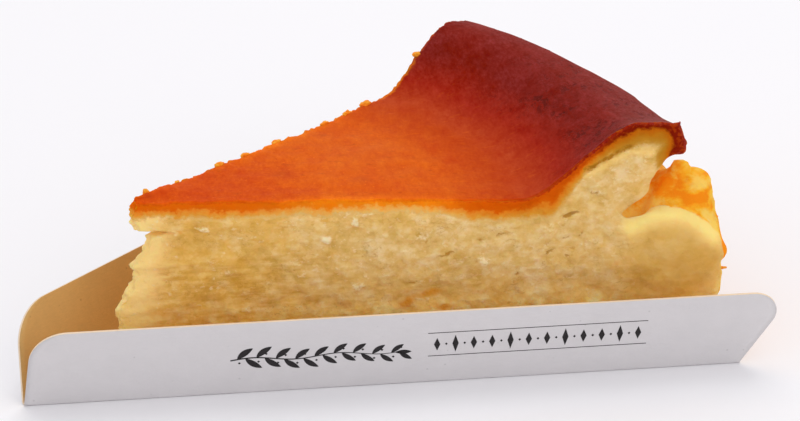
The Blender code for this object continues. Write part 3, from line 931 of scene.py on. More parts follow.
def cake_material(looks):
    recipe = Recipe("burnt_cheesecake")
    crumb, crumb_height = crumb_colour(recipe, looks)
    cut = baked_colour(recipe, looks, crumb)
    skin, skin_height = skin_colour(recipe, looks)
    ragged = recipe.uneven(0.8, 2.0, 0.6, 61.0)
    skin_depth = recipe.attribute("skin_depth") - recipe.attribute("burn") * 0.4
    on_skin = 1.0 - (skin_depth + ragged * 1.2).step(0.1, 0.5)
    colour = recipe.blend(on_skin, cut, skin)
    height = recipe.node(
        "ShaderNodeMix", None, {0: on_skin, 2: crumb_height, 3: skin_height}
    )
    constants = {
        "Specular IOR Level": looks.gloss, "Subsurface Weight": looks.softness,
        "Subsurface Radius": (1.0, 0.55, 0.25), "Subsurface Scale": looks.soft_depth,
        "Metallic": 0.0,
    }
    return recipe.finish(
        constants, Base_Color=colour, Roughness=0.62 - on_skin * 0.14,
        Normal=recipe.bump(height, 0.6),
    )


def crumb_material(looks):
    recipe = Recipe("toasted_crumbs")
    patches = recipe.noise(1.2, 3.0, 0.6, 2.0)
    colour = recipe.ramp(patches, (
        (0.3, looks.dark), (0.5, looks.middle), (0.68, looks.light),
    ))
    height = recipe.noise(0.5, 3.0, 0.6, 5.0) * 0.3
    constants = {"Specular IOR Level": 0.2, "Metallic": 0.0}
    return recipe.finish(
        constants, Base_Color=colour, Roughness=0.62 + (patches - 0.5) * 0.2,
        Normal=recipe.bump(height),
    )


def card_material(name, colour, blotch, fibre, speck, roughness):
    """Coated or bare board: wide blotches, short fibres and a few small specks."""
    recipe = Recipe(name)
    blotches = recipe.uneven(6.0, 4.0, 0.65, 1.0)
    fibres = recipe.uneven((1.6, 1.6, 0.35), 3.0, 0.6, 3.0, 1.2)
    specks = 1.0 - recipe.cells(2.6, 5.0).step(0.05, 0.12)
    rare = recipe.noise(5.0, 0.0, 0.5, 8.0).step(0.5, 0.58)
    shade = 1.0 + blotches * blotch + fibres * fibre - specks * rare * speck
    height = fibres * 0.05 + blotches * 0.12
    constants = {"Specular IOR Level": 0.3, "Metallic": 0.0}
    return recipe.finish(
        constants, Base_Color=tint(recipe, colour, shade),
        Roughness=roughness + blotches * 0.15, Normal=recipe.bump(height),
    )


def ink_material(colour):
    recipe = Recipe("black_ink")
    wear = recipe.noise(1.4, 4.0, 0.7, 2.0)
    shade = 0.8 + wear * 0.5
    constants = {"Specular IOR Level": 0.3, "Metallic": 0.0}
    return recipe.finish(
        constants, Base_Color=tint(recipe, colour, shade), Roughness=0.4 + wear * 0.2
    )


def mesh_of(body, name):
    """The mesh of a bmesh, which is then freed."""
    mesh = bpy.data.meshes.new(name)
    body.to_mesh(mesh)
    body.free()
    return mesh


def linked(name, data):
    """A new object of this data, put in the scene."""
    thing = bpy.data.objects.new(name, data)
    bpy.context.scene.collection.objects.link(thing)
    return thing


def new_piece(mesh, materials):
    """A piece of the mesh's name that rides on the root body."""
    for material in materials:
        mesh.materials.append(material)
    piece = linked(mesh.name, mesh)
    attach(piece, "root")
    return piece


def colour_property(name, description, value):
    return FloatVectorProperty(
        name=name, description=description, default=value, size=3, subtype="COLOR",
        min=0.0, max=1.0,
    )


def length_property(name, description, value):
    return FloatProperty(name=name, description=description, default=value, unit="LENGTH")


class SliceSettings(bpy.types.PropertyGroup):
    """The slice: its fine relief and its colours."""

    curd_depth: length_property("Curd depth", "Depth of the curd on the cuts", 0.22 * MM)
    curd_size: length_property("Curd size", "Size of the curd on the cuts", 2.5 * MM)
    grain_depth: length_property("Grain depth", "Depth of the finest grain", 0.06 * MM)
    grain_size: length_property("Grain size", "Size of the finest grain", 0.9 * MM)
    crust_depth: length_property("Crust depth", "Roughness of the wall", 0.45 * MM)
    tip_depth: length_property("Tip depth", "Raggedness of the tip", 0.6 * MM)
    corner_round: length_property("Corner", "Rounding of the skin's edge", 0.8 * MM)
    skin: colour_property("Skin", "Skin over the soft middle", (0.71, 0.108, 0.003))
    skin_tip: colour_property("Skin tip", "Skin near the tip", (0.63, 0.070, 0.002))
    skin_amber: colour_property("Skin amber", "Skin as it darkens", (0.58, 0.070, 0.003))
    skin_copper: colour_property("Skin copper", "Skin at the rise", (0.51, 0.054, 0.003))
    skin_russet: colour_property("Skin russet", "Skin up the rise", (0.47, 0.047, 0.008))
    skin_brown: colour_property("Skin brown", "Skin below the rim", (0.36, 0.018, 0.005))
    skin_burnt: colour_property("Skin burnt", "Skin of the rim", (0.214, 0.0128, 0.0078))
    pit: colour_property("Pits", "Pits in the rim's skin", (0.105, 0.008, 0.005))
    # Painted sheen near the lip: a grey-violet tint that stands in for the rim's grazing
    # reflection
    bloom: colour_property("Bloom", "Dull bloom near the lip", (0.225, 0.065, 0.056))
    skin_edge: colour_property("Skin edge", "Skin where it is cut", (1.0, 0.235, 0.004))
    edge_deep: colour_property("Deep edge", "Skin's edge at the rise", (0.77, 0.105, 0.002))
    edge_dark: colour_property("Dark edge", "Skin's edge up the rise", (0.60, 0.055, 0.002))
    rim_edge_top: colour_property("Rim edge top", "Edge of the burnt skin", (0.29, 0.015, 0.002))
    band: colour_property("Band", "Baked band under the skin", (0.97, 0.245, 0.003))
    band_orange: colour_property("Orange band", "Upper band", (0.93, 0.275, 0.008))
    band_gold: colour_property("Golden band", "Middle of the band", (0.93, 0.41, 0.065))
    band_low: colour_property("Band foot", "Foot of the band", (0.90, 0.51, 0.125))
    band_deep: colour_property("Deep band", "Band at the rise", (0.73, 0.120, 0.001))
    glow: colour_property("Glow", "Below the deep band", (0.81, 0.245, 0.015))
    glow_low: colour_property("Low glow", "Foot of the deep band", (0.80, 0.355, 0.038))
    rim_edge: colour_property("Rim edge", "Burnt crust where it is cut", (0.225, 0.010, 0.001))
    rim_glow: colour_property("Rim glow", "Foot of the burnt crust", (0.56, 0.140, 0.003))
    rim_under: colour_property("Rim under", "Just under the crust", (0.54, 0.185, 0.007))
    rim_ochre: colour_property("Rim ochre", "Baked crumb of the rim", (0.55, 0.250, 0.020))
    ember: colour_property("Ember", "Red flecks in the burnt edge", (0.55, 0.080, 0.002))
    # The cap crack's darker ochre is painted shade in its groove
    cap_crack: colour_property("Cap crack", "Crack under the rim", (0.47, 0.200, 0.012))
    crumb_shade: colour_property("Crumb shade", "Dips of the crumb", (0.665, 0.395, 0.090))
    crumb: colour_property("Crumb", "Cheese crumb", (0.805, 0.530, 0.184))
    crumb_light: colour_property("Crumb light", "Raised crumb", (0.885, 0.660, 0.335))
    lump: colour_property("Lumps", "Pale lumps of cheese", (0.98, 0.78, 0.47))
    # Pale ridge of cheese under the cap's crack, and a painted highlight along the top of the lobe
    ridge: colour_property("Ridges", "Pale ridges of cheese", (1.0, 0.72, 0.25))
    # The tip's pale colour is partly painted light shining through the thin cheese
    tip: colour_property("Tip", "Thin cheese at the tip", (1.0, 0.68, 0.27))
    golden: colour_property("Golden", "Tint of the warmer crumb", (1.0, 0.87, 0.53))
    dense: colour_property("Dense", "Tint of the dense crumb", (0.89, 0.79, 0.50))
    # The darker ochre inside small tears is painted shade
    tear: colour_property("Tears", "Inside small tears", (0.56, 0.27, 0.035))
    stain: colour_property("Stains", "Baked stains", (0.79, 0.325, 0.008))
    torn: colour_property("Torn crumb", "Torn face under the cap", (1.0, 0.43, 0.030))
    torn_pale: colour_property("Pale torn crumb", "Pale torn crumb", (1.0, 0.57, 0.100))
    torn_dark: colour_property("Dark torn crumb", "Toasted torn crumb", (0.97, 0.31, 0.010))
    crust_light: colour_property("Wall light", "Pale wall crust", (1.0, 0.60, 0.11))
    crust: colour_property("Wall", "Wall crust", (1.0, 0.44, 0.022))
    crust_dark: colour_property("Wall dark", "Dark wall crust", (0.96, 0.28, 0.009))
    wall_pale: colour_property("Pale wall", "Wall between its pleats", (0.80, 0.47, 0.13))
    wall_golden: colour_property("Golden wall", "Most of the wall", (0.70, 0.31, 0.045))
    wall_brown: colour_property("Brown wall", "Pleats of the wall", (0.52, 0.180, 0.018))
    gloss: FloatProperty(name="Gloss", description="Shine", default=0.02, min=0, max=1)
    softness: FloatProperty(
        name="Softness", description="Light let through", default=0.5, min=0, max=1)
    soft_depth: length_property("Light depth", "How deep light goes", 3.0 * MM)


class CrumbSettings(bpy.types.PropertyGroup):
    """Toasted crumbs stuck along the skin's edges."""

    dark: colour_property("Dark", "Dark side of the crumbs", (1.0, 0.20, 0.004))
    middle: colour_property("Middle", "Most of the crumbs", (1.0, 0.33, 0.012))
    light: colour_property("Light", "Pale side of the crumbs", (1.0, 0.52, 0.05))
    roundness: FloatProperty(
        name="Roundness", description="How round the crumbs are", default=0.95,
        min=0.2, max=1.0)
    seat: FloatProperty(
        name="Seat", description="Middle of a crumb above the skin, in heights",
        default=-0.17, min=-0.5, max=0.5)


class HolderSettings(bpy.types.PropertyGroup):
    """The folded card."""

    fold_radius: length_property("Fold", "Radius of the folds at mid-thickness", 0.4 * MM)
    columns: IntProperty(name="Columns", description="Columns along a flap", default=90)
    white: colour_property("White face", "Coated outside", (0.66, 0.635, 0.645))
    kraft: colour_property("Kraft face", "Bare inside", (0.66, 0.40, 0.14))
    edge: colour_property("Cut edge", "Cut edges of the card", (0.90, 0.72, 0.52))


class PrintSettings(bpy.types.PropertyGroup):
    """The black ornament on the near flap."""

    ink: colour_property("Ink", "Printed black", (0.012, 0.009, 0.010))
    film: length_property("Film", "Thickness of the ink", 0.02 * MM)
    lift: length_property("Lift", "Gap between card and ink", 0.01 * MM)


class StageSettings(bpy.types.PropertyGroup):
    """Floor, lights and camera."""

    floor: colour_property("Floor", "Pale floor", (0.94, 0.93, 0.95))
    sky: FloatProperty(name="Sky", description="Strength of the even light", default=0.745)
    key: FloatProperty(name="Key", description="Power of the light above", default=3.05)
    fill: FloatProperty(name="Fill", description="Power of the front light", default=2.25)
    lens: FloatProperty(
        name="Lens", description="Focal length", default=91.7, unit="CAMERA")
    distance: length_property("Distance", "From the camera to its target", 408.84 * MM)
    elevation: FloatProperty(
        name="Elevation", description="Camera above the horizon", unit="ROTATION",
        default=math.radians(23.009))
    yaw: FloatProperty(
        name="Yaw", description="Camera turned about the upright axis", unit="ROTATION",
        default=math.radians(4.308))
    roll: FloatProperty(
        name="Roll", description="Camera rolled about its own axis", unit="ROTATION",
        default=math.radians(-1.444))


def round_edge(distance, radius):
    """Moves into a surface and on along it that round off its edge, by distance to it."""
    turn = 0.25 * math.pi * np.clip(1.0 - distance / radius, 0.0, 1.0)
    onward = np.where(distance < radius, radius * (1.0 - np.sin(turn)) - distance, 0.0)
    return radius * (1.0 - np.cos(turn)), onward


def far_edge_wave(radius):
    """How far the top edge of the far cut rises at a radius."""
    return sum(
        rise * np.exp(-((radius - centre) / spread) ** 2)
        for centre, spread, rise in FAR_EDGE_WAVES
    )


def slice_place(along, across, up):
    """One place on the slice's surface, before it is laid in its holder."""
    return Slice().points(*(np.array([value], float) for value in (along, across, up)))[0][0]


def laid(points):
    """Places of the slice, turned and moved to where it lies in its holder."""
    cos, sin = math.cos(NEAR_CUT_TURN), math.sin(NEAR_CUT_TURN)
    x, y, z = points.T
    return stacked(x * cos - y * sin, x * sin + y * cos, z) + np.array(APEX)


class FineSlice:
    """The fine mesh of the slice, as arrays with one item for each of its points.

    It starts as the solid does, and shape then moves its points on, a step at a time.
    What the finish needs to know at each point is kept in values.
    """

    def __init__(self, settings):
        self.settings = settings
        steps = (STEPS_ALONG, STEPS_ACROSS, STEPS_UP)
        places, quads = lattice_shell(steps)
        self.faces = [tuple(quad) for quad in quads.tolist()]
        self.faces.append(tuple(underside_loop(places, steps)))
        self.along, across, self.up = (places / np.array(steps)).T
        self.across = across - CUT_CROWDING * np.sin(2.0 * math.pi * across)
        self.point, self.turn, self.radius = Slice().points(self.along, self.across, self.up)
        self.height = self.point[:, 2].copy()
        self.near, self.far = self.across == 0.0, self.across == 1.0
        self.on_top, self.on_wall = self.up == 1.0, self.along == 1.0
        self.cut = self.near | self.far
        self.wall = self.on_wall & ~self.on_top
        self.to_cut = self.radius * np.minimum(self.turn, SLICE_ANGLE - self.turn)
        self.section = stacked(self.radius, self.height, self.far * FAR_CUT_SHIFT)[self.cut]
        self.side = np.zeros_like(self.radius)
        self.values = {}

    def shape(self):
        self.measure_depths()
        self.roughen_cuts()
        self.add_marks()
        self.round_edges()
        self.roughen_wall()
        self.break_wall()
        self.bend_top()
        self.crumble_tip()
        self.point[self.up == 0.0, 2] = BOTTOM_HEIGHT
        self.note_places()

    def distance_to(self, place):
        return np.linalg.norm(self.point - slice_place(*place), axis=1)

    def measure_depths(self):
        """Millimetres below the burnt skin, and in from the wall, at each point."""
        up, on_top, on_wall = self.up, self.on_top, self.on_wall
        radius, height = self.radius, self.height
        skin_depth = np.full(len(up), DEEP)
        wall_depth = np.full(len(up), DEEP)
        section = stacked(radius, height)
        for cut in (self.near, self.far):
            skin_path = section[cut & (on_top | (on_wall & (up > CRACK_HIGH)))]
            wall_path = section[cut & on_wall & (up < CRACK_LOW)]
            skin_depth[cut] = distance_to_path(radius[cut], height[cut], skin_path) / MM
            wall_depth[cut] = distance_to_path(radius[cut], height[cut], wall_path) / MM
        tip = (self.along == 0.0) & ~self.cut
        tip_top = height[on_top & (self.along == 0.0)].mean()
        skin_depth[tip] = np.maximum(tip_top - height[tip], 0.0) / MM
        wall_only = on_wall & ~self.cut
        wall_depth[wall_only] = 0.0
        lip = wall_only & (up > LIP_START)
        behind = smooth_step(0.15, 0.4, self.across[lip])
        reach = LIP_REACH + LIP_REACH_BEHIND * behind
        fade = smooth_step(CRACK_HIGH - 0.02, CRACK_HIGH + reach, up[lip])
        skin_depth[lip] = (1.0 + LIP_DEPTH_BEHIND * behind) * (1.0 - fade)
        skin_depth[on_top] = 0.0
        torn = smooth_step(CRACK_LOW - 0.02, CRACK_LOW + 0.04, up)
        torn *= smooth_step(CRACK_HIGH, LIP_START, up)
        self.values.update(
            skin_depth=skin_depth, wall_depth=wall_depth, torn=np.where(wall_only, torn, 0.0))

    def roughen_cuts(self):
        """Curd and grain on the cuts, and bites and lumps along the edges of the skin."""
        settings, cut, radius = self.settings, self.cut, self.radius
        self.side[cut] = relief(self.section, settings.curd_size, settings.curd_depth)
        self.side[cut] += relief(
            self.section + 0.05, settings.grain_size, settings.grain_depth, 2)
        offset = np.hypot(radius - CALM_CENTRE[0], self.height - CALM_CENTRE[1])
        calm = np.exp(-(offset / CALM_SIZE) ** 4)
        self.side *= 1.0 - CALM_SHARE * calm
        self.values["calm"] = calm * self.near
        by_edge = cut | self.on_top
        half = self.turn // (0.5 * SLICE_ANGLE)
        along_edge = stacked(radius, radius * 0.0, half)[by_edge]
        inside = np.where(cut, self.values["skin_depth"] * MM, self.to_cut)[by_edge]
        fade = np.exp(-inside / NIBBLE_FADE)
        self.side[by_edge] += relief(along_edge, NIBBLE_SIZE, NIBBLE) * fade
        lumps = relief(along_edge + 0.6, EDGE_LUMP_SIZE, EDGE_LUMP) * fade
        self.point[by_edge, 2] += np.where(self.across[by_edge] > 0.5, lumps, 0.0)

    def add_marks(self):
        """Tears, lumps, stains, the cap's crack, a pale ridge and the lobe's painted highlight, as
        the photo has them.

        The far cut gets tears and lumps of its own.
        """
        cut, radius, height = self.cut, self.radius, self.height
        push = relief(self.section + 0.23, MARK_PUSH_SIZE, MARK_PUSH)
        pushed = radius.copy(), height.copy()
        pushed[0][cut] += push
        pushed[1][cut] += push[::-1] * 0.5
        for name, near_marks, far_marks in (
            ("tear", TEARS, scattered_marks(*FAR_TEARS)),
            ("lump", LUMPS, scattered_marks(*FAR_LUMPS)),
            ("stain", STAINS, ()),
        ):
            field = np.where(self.near, marks_field(*pushed, near_marks), 0.0)
            self.values[name] = np.where(self.far, marks_field(*pushed, far_marks), field)
        crack = path_field(radius, height, CAP_CRACK, CAP_CRACK_WIDTH) * cut
        broken = relief(self.section + 0.4, CAP_CRACK_BREAK_SIZE, 1.0, 2)
        crack[cut] *= smooth_step(-0.7, 0.0, broken)
        # The pale ridge, and the painted highlight along the lobe's top
        ridge = np.zeros_like(radius)
        for width, strength, *path in PALE_RIDGES_AND_HIGHLIGHT:
            field = path_field(radius, height, path, width * MM) * self.near
            ridge = np.maximum(ridge, field * strength)
        self.values.update(cap_crack=crack, ridge=ridge)
        for name, rise in MARK_RISES.items():
            self.side += self.values[name] * rise

    def round_edges(self):
        """Round the edges between skin and cuts, and move the cuts out by their relief."""
        cut, radius, turn = self.cut, self.radius, self.turn
        places = stacked(radius, self.far * 1.0, radius * 0.0)
        uneven = 1.0 + relief(places, CORNER_WAVE_SIZE, CORNER_WAVE, 2)
        edge_radius = self.settings.corner_round * uneven
        inward, onward = round_edge(self.values["skin_depth"] * MM, edge_radius)
        side = np.where(cut, self.side - inward, self.side)
        before_lip = smooth_step(*BEFORE_LIP_RADII, radius)
        self.point[:, 2] -= np.where(cut, onward, 0.0) * before_lip
        drop, sideways = round_edge(self.to_cut, edge_radius)
        skin_wave = relief(self.point, SKIN_WAVE_SIZE, SKIN_WAVE, 2)
        top_only = self.on_top & ~self.on_wall
        self.point[:, 2] -= np.where(top_only, drop - skin_wave, 0.0)
        side -= np.where(top_only, sideways, 0.0)
        side = np.where(turn > 0.5 * SLICE_ANGLE, side, -side)
        self.point[:, 0] -= np.sin(turn) * side
        self.point[:, 1] += np.cos(turn) * side

    def roughen_wall(self):
        """Rough crust on the wall, in blocks where the lip ends."""
        point, turn, depth = self.point[self.wall], self.turn[self.wall], self.settings.crust_depth
        crust = relief(point, CRUST_SIZE, depth)
        crust += relief(point + 0.07, CRUST_GRAIN_SIZE, depth * 0.4, 2)
        blocks = np.round(relief(point + 0.31, CRUST_BLOCK_SIZE, 1.0, 1) * BLOCK_STEPS)
        lip_end = smooth_step(CRACK_HIGH - 0.02, CRACK_HIGH + 0.03, self.up[self.wall])
        crust += blocks / BLOCK_SHARE * depth * lip_end
        self.point[self.wall, 0] += np.cos(turn) * crust
        self.point[self.wall, 1] += np.sin(turn) * crust

    def break_wall(self):
        """Let the crack wander round the wall, and stand a block on the ledge below it."""
        up, turn, wall = self.up, self.turn, self.wall
        by_crack = smooth_step(CRACK_LOW - 0.14, CRACK_LOW, up) * smooth_step(0.95, CRACK_HIGH, up)
        behind = smooth_step(ROUND_TURN, 2.0 * ROUND_TURN, turn)
        behind *= smooth_step(SLICE_ANGLE, SLICE_ANGLE - ROUND_TURN, turn)
        places = stacked(turn * WALL_REACH, up * CRACK_SKEW, up * 0.0)[wall]
        wander = relief(places, CRACK_WANDER_SIZE, CRACK_WANDER)
        self.point[wall, 2] += wander * (by_crack * behind)[wall]
        knob_radius, knob_turn, half_width, knob_top = KNOB
        away = np.hypot(self.radius - knob_radius, (turn - knob_turn) * knob_radius)
        on_ledge = wall & (up < CRACK_LOW + 0.1)
        rise = np.maximum(knob_top - self.point[:, 2], 0.0) * np.exp(-(away / half_width) ** 8)
        self.point[:, 2] += np.where(on_ledge, rise, 0.0)

    def bend_top(self):
        """Waves of the far top edge, and the curl of the skin at the tip's far corner."""
        upper = smooth_step(*EDGE_WAVE_HEIGHTS, self.height)
        far_side = smooth_step(0.1, 0.8, self.across)
        self.point[:, 2] += far_edge_wave(self.radius) * upper * far_side
        from_corner = self.distance_to((0.0, 1.0, 1.0)) / TIP_CURL_SPREAD
        self.point[:, 2] += TIP_CURL * np.exp(-from_corner * from_corner)

    def crumble_tip(self):
        """Ragged crumb on the tip, fading out along both cuts."""
        at_tip = self.along == 0.0
        by_tip = smooth_step(*CRUMBLY_RADII, self.radius)
        tip = at_tip | (self.cut & (by_tip > 0.0))
        depth = self.settings.tip_depth
        crumbly = np.zeros_like(self.radius)
        crumbly[tip] = relief(self.point[tip] + 0.17, TIP_LUMP_SIZE, depth)
        crumbly[tip] += relief(self.point[tip] + 0.27, TIP_GRAIN_SIZE, depth * 0.8)
        crumbly *= np.where(at_tip, 1.0, by_tip * 0.6)
        self.point[:, 0] -= math.cos(0.5 * SLICE_ANGLE) * crumbly
        self.point[:, 1] -= math.sin(0.5 * SLICE_ANGLE) * crumbly

    def spots(self):
        """Burnt spots of the wall and the skin: pale ones count below 0."""
        spots = [(1.0, *spot) for spot in WALL_SPOTS]
        spots += [(along_at(row[0] * MM), row[1], 1.0, *row[2:]) for row in SKIN_SPOTS]
        field = np.zeros_like(self.radius)
        for along, turn, up, size, strength in spots:
            away = self.distance_to((along, math.radians(turn) / SLICE_ANGLE, up)) / (size * MM)
            field += strength * np.exp(-away * away)
        return field

    def note_places(self):
        """Note what the finish needs: how baked a place is, and what it is near to."""
        across, turn, radius = self.across, self.turn, self.radius
        radii, thickness, darkness = np.array(BAKING, float).T
        values = self.values
        values["to_cut"] = self.to_cut / MM
        values["spot"] = self.spots()
        values["bake"] = np.interp(radius / MM, radii, thickness)
        values["toast"] = np.interp(radius / MM, radii, darkness)
        values["burn"] = np.interp(radius / MM, BURN_RADII, BURN_STAGES)
        values["round"] = smooth_step(*BROWNED_TURNS, turn)
        for name, ends in RADIUS_FADES.items():
            values[name] = smooth_step(ends[0] * MM, ends[1] * MM, radius)
        for name, ends in HEIGHT_FADES.items():
            values[name] = smooth_step(ends[0] * MM, ends[1] * MM, self.height)
        # Some fades are products of two
        values["bloom"] *= np.exp(-turn / PAINTED_SHEEN_SPREAD)
        values["pitted"] *= 1.0 - 0.85 * smooth_step(*PITS_END_TURNS, turn)
        values["far_edge"] *= values.pop("before_rim") * (across > 0.5) * 0.6
        values["drag"] *= values.pop("low_half") * self.near


class CAKE_OT_slice(bpy.types.Operator):
    """Make the slice: crumb on its cuts, burnt skin on its top, crust on its wall"""

    bl_idname = "cake.slice"
    bl_label = "Cheesecake slice"

    def execute(self, context):
        settings = context.scene.cake_slice
        cake = FineSlice(settings)
        cake.shape()
        points = np.clip(laid(cake.point), np.array(SLICE_LOW), np.array(SLICE_HIGH))
        mesh = bpy.data.meshes.new("burnt_cheesecake")
        mesh.from_pydata(points.tolist(), [], cake.faces)
        for name, value in cake.values.items():
            attribute = mesh.attributes.new(name, "FLOAT", "POINT")
            attribute.data.foreach_set("value", value.astype(np.float32))
        mesh.shade_smooth()
        mesh.polygons[-1].use_smooth = False
        piece = new_piece(mesh, [cake_material(settings)])
        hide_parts("cheesecake_slice")
        return {"FINISHED"}


class CAKE_OT_crumbs(bpy.types.Operator):
    """Make the toasted crumbs on the far edge of the skin and on the wall"""

    bl_idname = "cake.crumbs"
    bl_label = "Toasted crumbs"

    def seats(self):
        """Foot, forward and sideways directions, length and height of each crumb."""
        edge_turn = NEAR_CUT_TURN + SLICE_ANGLE
        along_edge = Vector((math.cos(edge_turn), math.sin(edge_turn), 0.0))
        off_far_cut = Vector((-math.sin(edge_turn), math.cos(edge_turn), 0.0))
        for radius, length, height in EDGE_CRUMBS:
            foot = self.foot(along_at(radius * MM), 1.0, 1.0)
            foot.z += far_edge_wave(radius * MM)
            yield foot, along_edge, off_far_cut, length, height
        for turn, up, length, height in WALL_CRUMBS:
            foot = self.foot(1.0, math.radians(turn) / SLICE_ANGLE, up)
            yield foot, RIGHT, BACK, length, height

    def foot(self, *place):
        return Vector(laid(slice_place(*place)[None])[0])

    def execute(self, context):
        settings = context.scene.cake_crumbs
        draw = random.Random(CRUMB_SEED)
        body = bmesh.new()
        for foot, forward, aside, length, height in self.seats():
            centre = foot + UP * (height * MM * settings.seat)
            crumb = bmesh.ops.create_icosphere(body, subdivisions=4, radius=0.5)
            shift = Vector((draw.uniform(0.0, 9.0) for _ in range(3)))
            for vert in crumb["verts"]:
                lumpy = 1.0 + 0.35 * noise.fractal(vert.co * 2.4 + shift, 1.0, 2.0, 3)
                place = vert.co * lumpy * MM
                rise = place.z * height * settings.roundness
                out = place.y * 1.1 * height
                vert.co = centre + forward * place.x * length + UP * rise + aside * out
        mesh = mesh_of(body, "toasted_crumbs")
        mesh.shade_smooth()
        piece = new_piece(mesh, [crumb_material(settings)])
        return {"FINISHED"}


def rounded_corner(before, corner, after, radius):
    """Points of the arc that rounds a corner between two straight edges."""
    towards_before = (before - corner).normalized()
    towards_after = (after - corner).normalized()
    half = 0.5 * towards_before.angle(towards_after)
    middle = (towards_before + towards_after).normalized()
    centre = corner + middle * (radius / math.sin(half))
    reach = radius / math.tan(half)
    start = (corner + towards_before * reach - centre).normalized()
    end = (corner + towards_after * reach - centre).normalized()
    return [
        centre + start.slerp(end, step / CORNER_STEPS) * radius
        for step in range(CORNER_STEPS + 1)
    ]


def flap_ends(narrow_end):
    """The flap's two end edges laid flat, from fold to top: rows of (start, end, up)."""
    lean, radius = narrow_end
    low = Vector((POINT_CUT_BACK, 0.0))
    high = Vector((math.tan(lean) * FLAP_HEIGHT, FLAP_HEIGHT))
    wide_low = Vector((FOLD_LENGTH, 0.0))
    wide_lean, wide_radius = WIDE_END
    wide_high = Vector((FOLD_LENGTH + math.tan(wide_lean) * FLAP_HEIGHT, FLAP_HEIGHT))
    narrow = [low] + rounded_corner(low, high, wide_high, radius)
    wide = [wide_low] + rounded_corner(high, wide_high, wide_low, wide_radius)[::-1]
    heights = sorted({round(p.y, 7) for p in narrow + wide})
    first = np.interp(heights, [p.y for p in narrow], [p.x for p in narrow])
    last = np.interp(heights, [p.y for p in wide], [p.x for p in wide])
    return list(zip(first, last, heights))


def fold_profile(up, fold_radius):
    """Outward and upward place of the card at this distance past the fold's line.

    The fold's bend starts before the line, so negative distances lie on the base.
    """
    bend = 0.5 * math.pi - FLAP_LEAN
    tangent = fold_radius * math.tan(0.5 * bend)
    if up >= tangent:
        return up * math.sin(FLAP_LEAN), up * math.cos(FLAP_LEAN)
    angle = bend * (up + tangent) / (2.0 * tangent)
    return (
        -tangent + fold_radius * math.sin(angle),
        fold_radius * (1.0 - math.cos(angle)),
    )


def flap_rows(narrow_end, fold_radius):
    """Rows (start, end, distance past the fold), from the base side up to the top."""
    tangent = fold_radius * math.tan(0.5 * (0.5 * math.pi - FLAP_LEAN))
    ends = flap_ends(narrow_end)
    rows = []
    for step in range(FOLD_STEPS + 1):
        up = lerp(-tangent, tangent, step / FOLD_STEPS)
        rows.append((ends[0][0], ends[0][1], up))
    rows += [row for row in ends if row[2] > tangent * 1.5]
    return rows


class CAKE_OT_holder(bpy.types.Operator):
    """Make the card holder: a flat base and two flaps folded up, white and kraft"""

    bl_idname = "cake.holder"
    bl_label = "Card holder"

    def add_flap(self, sheet, settings, fold, outward, narrow_end, flip):
        """Add a flap to the sheet along its fold, and return its lowest row of points."""
        count = settings.columns
        rows = []
        for start, end, up in flap_rows(narrow_end, settings.fold_radius):
            out, rise = fold_profile(up, settings.fold_radius)
            row = []
            for step in range(count + 1):
                place = fold * lerp(start, end, step / count) + outward * out
                row.append(sheet.verts.new(place + UP * rise))
            rows.append(row)
        for under, over in zip(rows, rows[1:]):
            for step in range(count):
                corners = [under[step], under[step + 1], over[step + 1], over[step]]
                sheet.faces.new(corners[::-1] if flip else corners)
        return rows[0]

    def add_base(self, sheet, near_row, far_row):
        """Close the base between the two folds, with its round far end."""
        arc = []
        for step in range(1, ARC_STEPS):
            angle = FOLD_ANGLE * step / ARC_STEPS
            arc.append(sheet.verts.new(
                Vector((math.cos(angle), math.sin(angle), 0.0)) * FOLD_LENGTH))
        base = sheet.faces.new(near_row[::-1] + far_row + arc[::-1])
        base.normal_update()
        bmesh.ops.triangulate(sheet, faces=[base])

    def execute(self, context):
        settings = context.scene.cake_holder
        sheet = bmesh.new()
        far = Vector((math.cos(FOLD_ANGLE), math.sin(FOLD_ANGLE), 0.0))
        far_out = Vector((-math.sin(FOLD_ANGLE), math.cos(FOLD_ANGLE), 0.0))
        near_row = self.add_flap(sheet, settings, RIGHT, -BACK, NEAR_NARROW_END, False)
        far_row = self.add_flap(sheet, settings, far, far_out, FAR_NARROW_END, True)
        self.add_base(sheet, near_row, far_row)
        bmesh.ops.recalc_face_normals(sheet, faces=sheet.faces)
        flat = [face for face in sheet.faces if abs(face.normal.z) > 0.999]
        if sum(face.normal.z for face in flat) > 0.0:
            bmesh.ops.reverse_faces(sheet, faces=sheet.faces)
        mesh = mesh_of(sheet, "card_slice_holder")
        mesh.shade_smooth()
        mesh.transform(Matrix.Translation(CARD_ORIGIN))
        materials = [
            card_material("white_board", settings.white, 0.10, 0.05, 0.16, 0.55),
            card_material("kraft_board", settings.kraft, 0.22, 0.22, 0.25, 0.75),
            card_material("board_edge", settings.edge, 0.20, 0.15, 0.0, 0.8),
        ]
        piece = new_piece(mesh, materials)
        thickness = piece.modifiers.new("thickness", "SOLIDIFY")
        thickness.thickness = CARD_THICKNESS
        thickness.offset = 0.0
        thickness.material_offset = 1
        thickness.material_offset_rim = 2
        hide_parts("card_holder")
        return {"FINISHED"}


def flap_face(along, up, lift):
    """A point on the near flap's outer face: along the fold, up the flap, off it."""
    rise = UP * math.cos(FLAP_LEAN) - BACK * math.sin(FLAP_LEAN)
    normal = -BACK * math.cos(FLAP_LEAN) - UP * math.sin(FLAP_LEAN)
    return CARD_ORIGIN + RIGHT * along + rise * up + normal * lift


def stroke(centre_line, widths):
    """Outline of a stroke of changing width along a line of points, in order round."""
    left, right = [], []
    count = len(centre_line)
    for index, (point, width) in enumerate(zip(centre_line, widths)):
        ahead = centre_line[min(index + 1, count - 1)] - centre_line[max(index - 1, 0)]
        side = Vector((-ahead.y, ahead.x)).normalized() * width * 0.5
        left.append(point + side)
        right.append(point - side)
    return left + right[::-1]


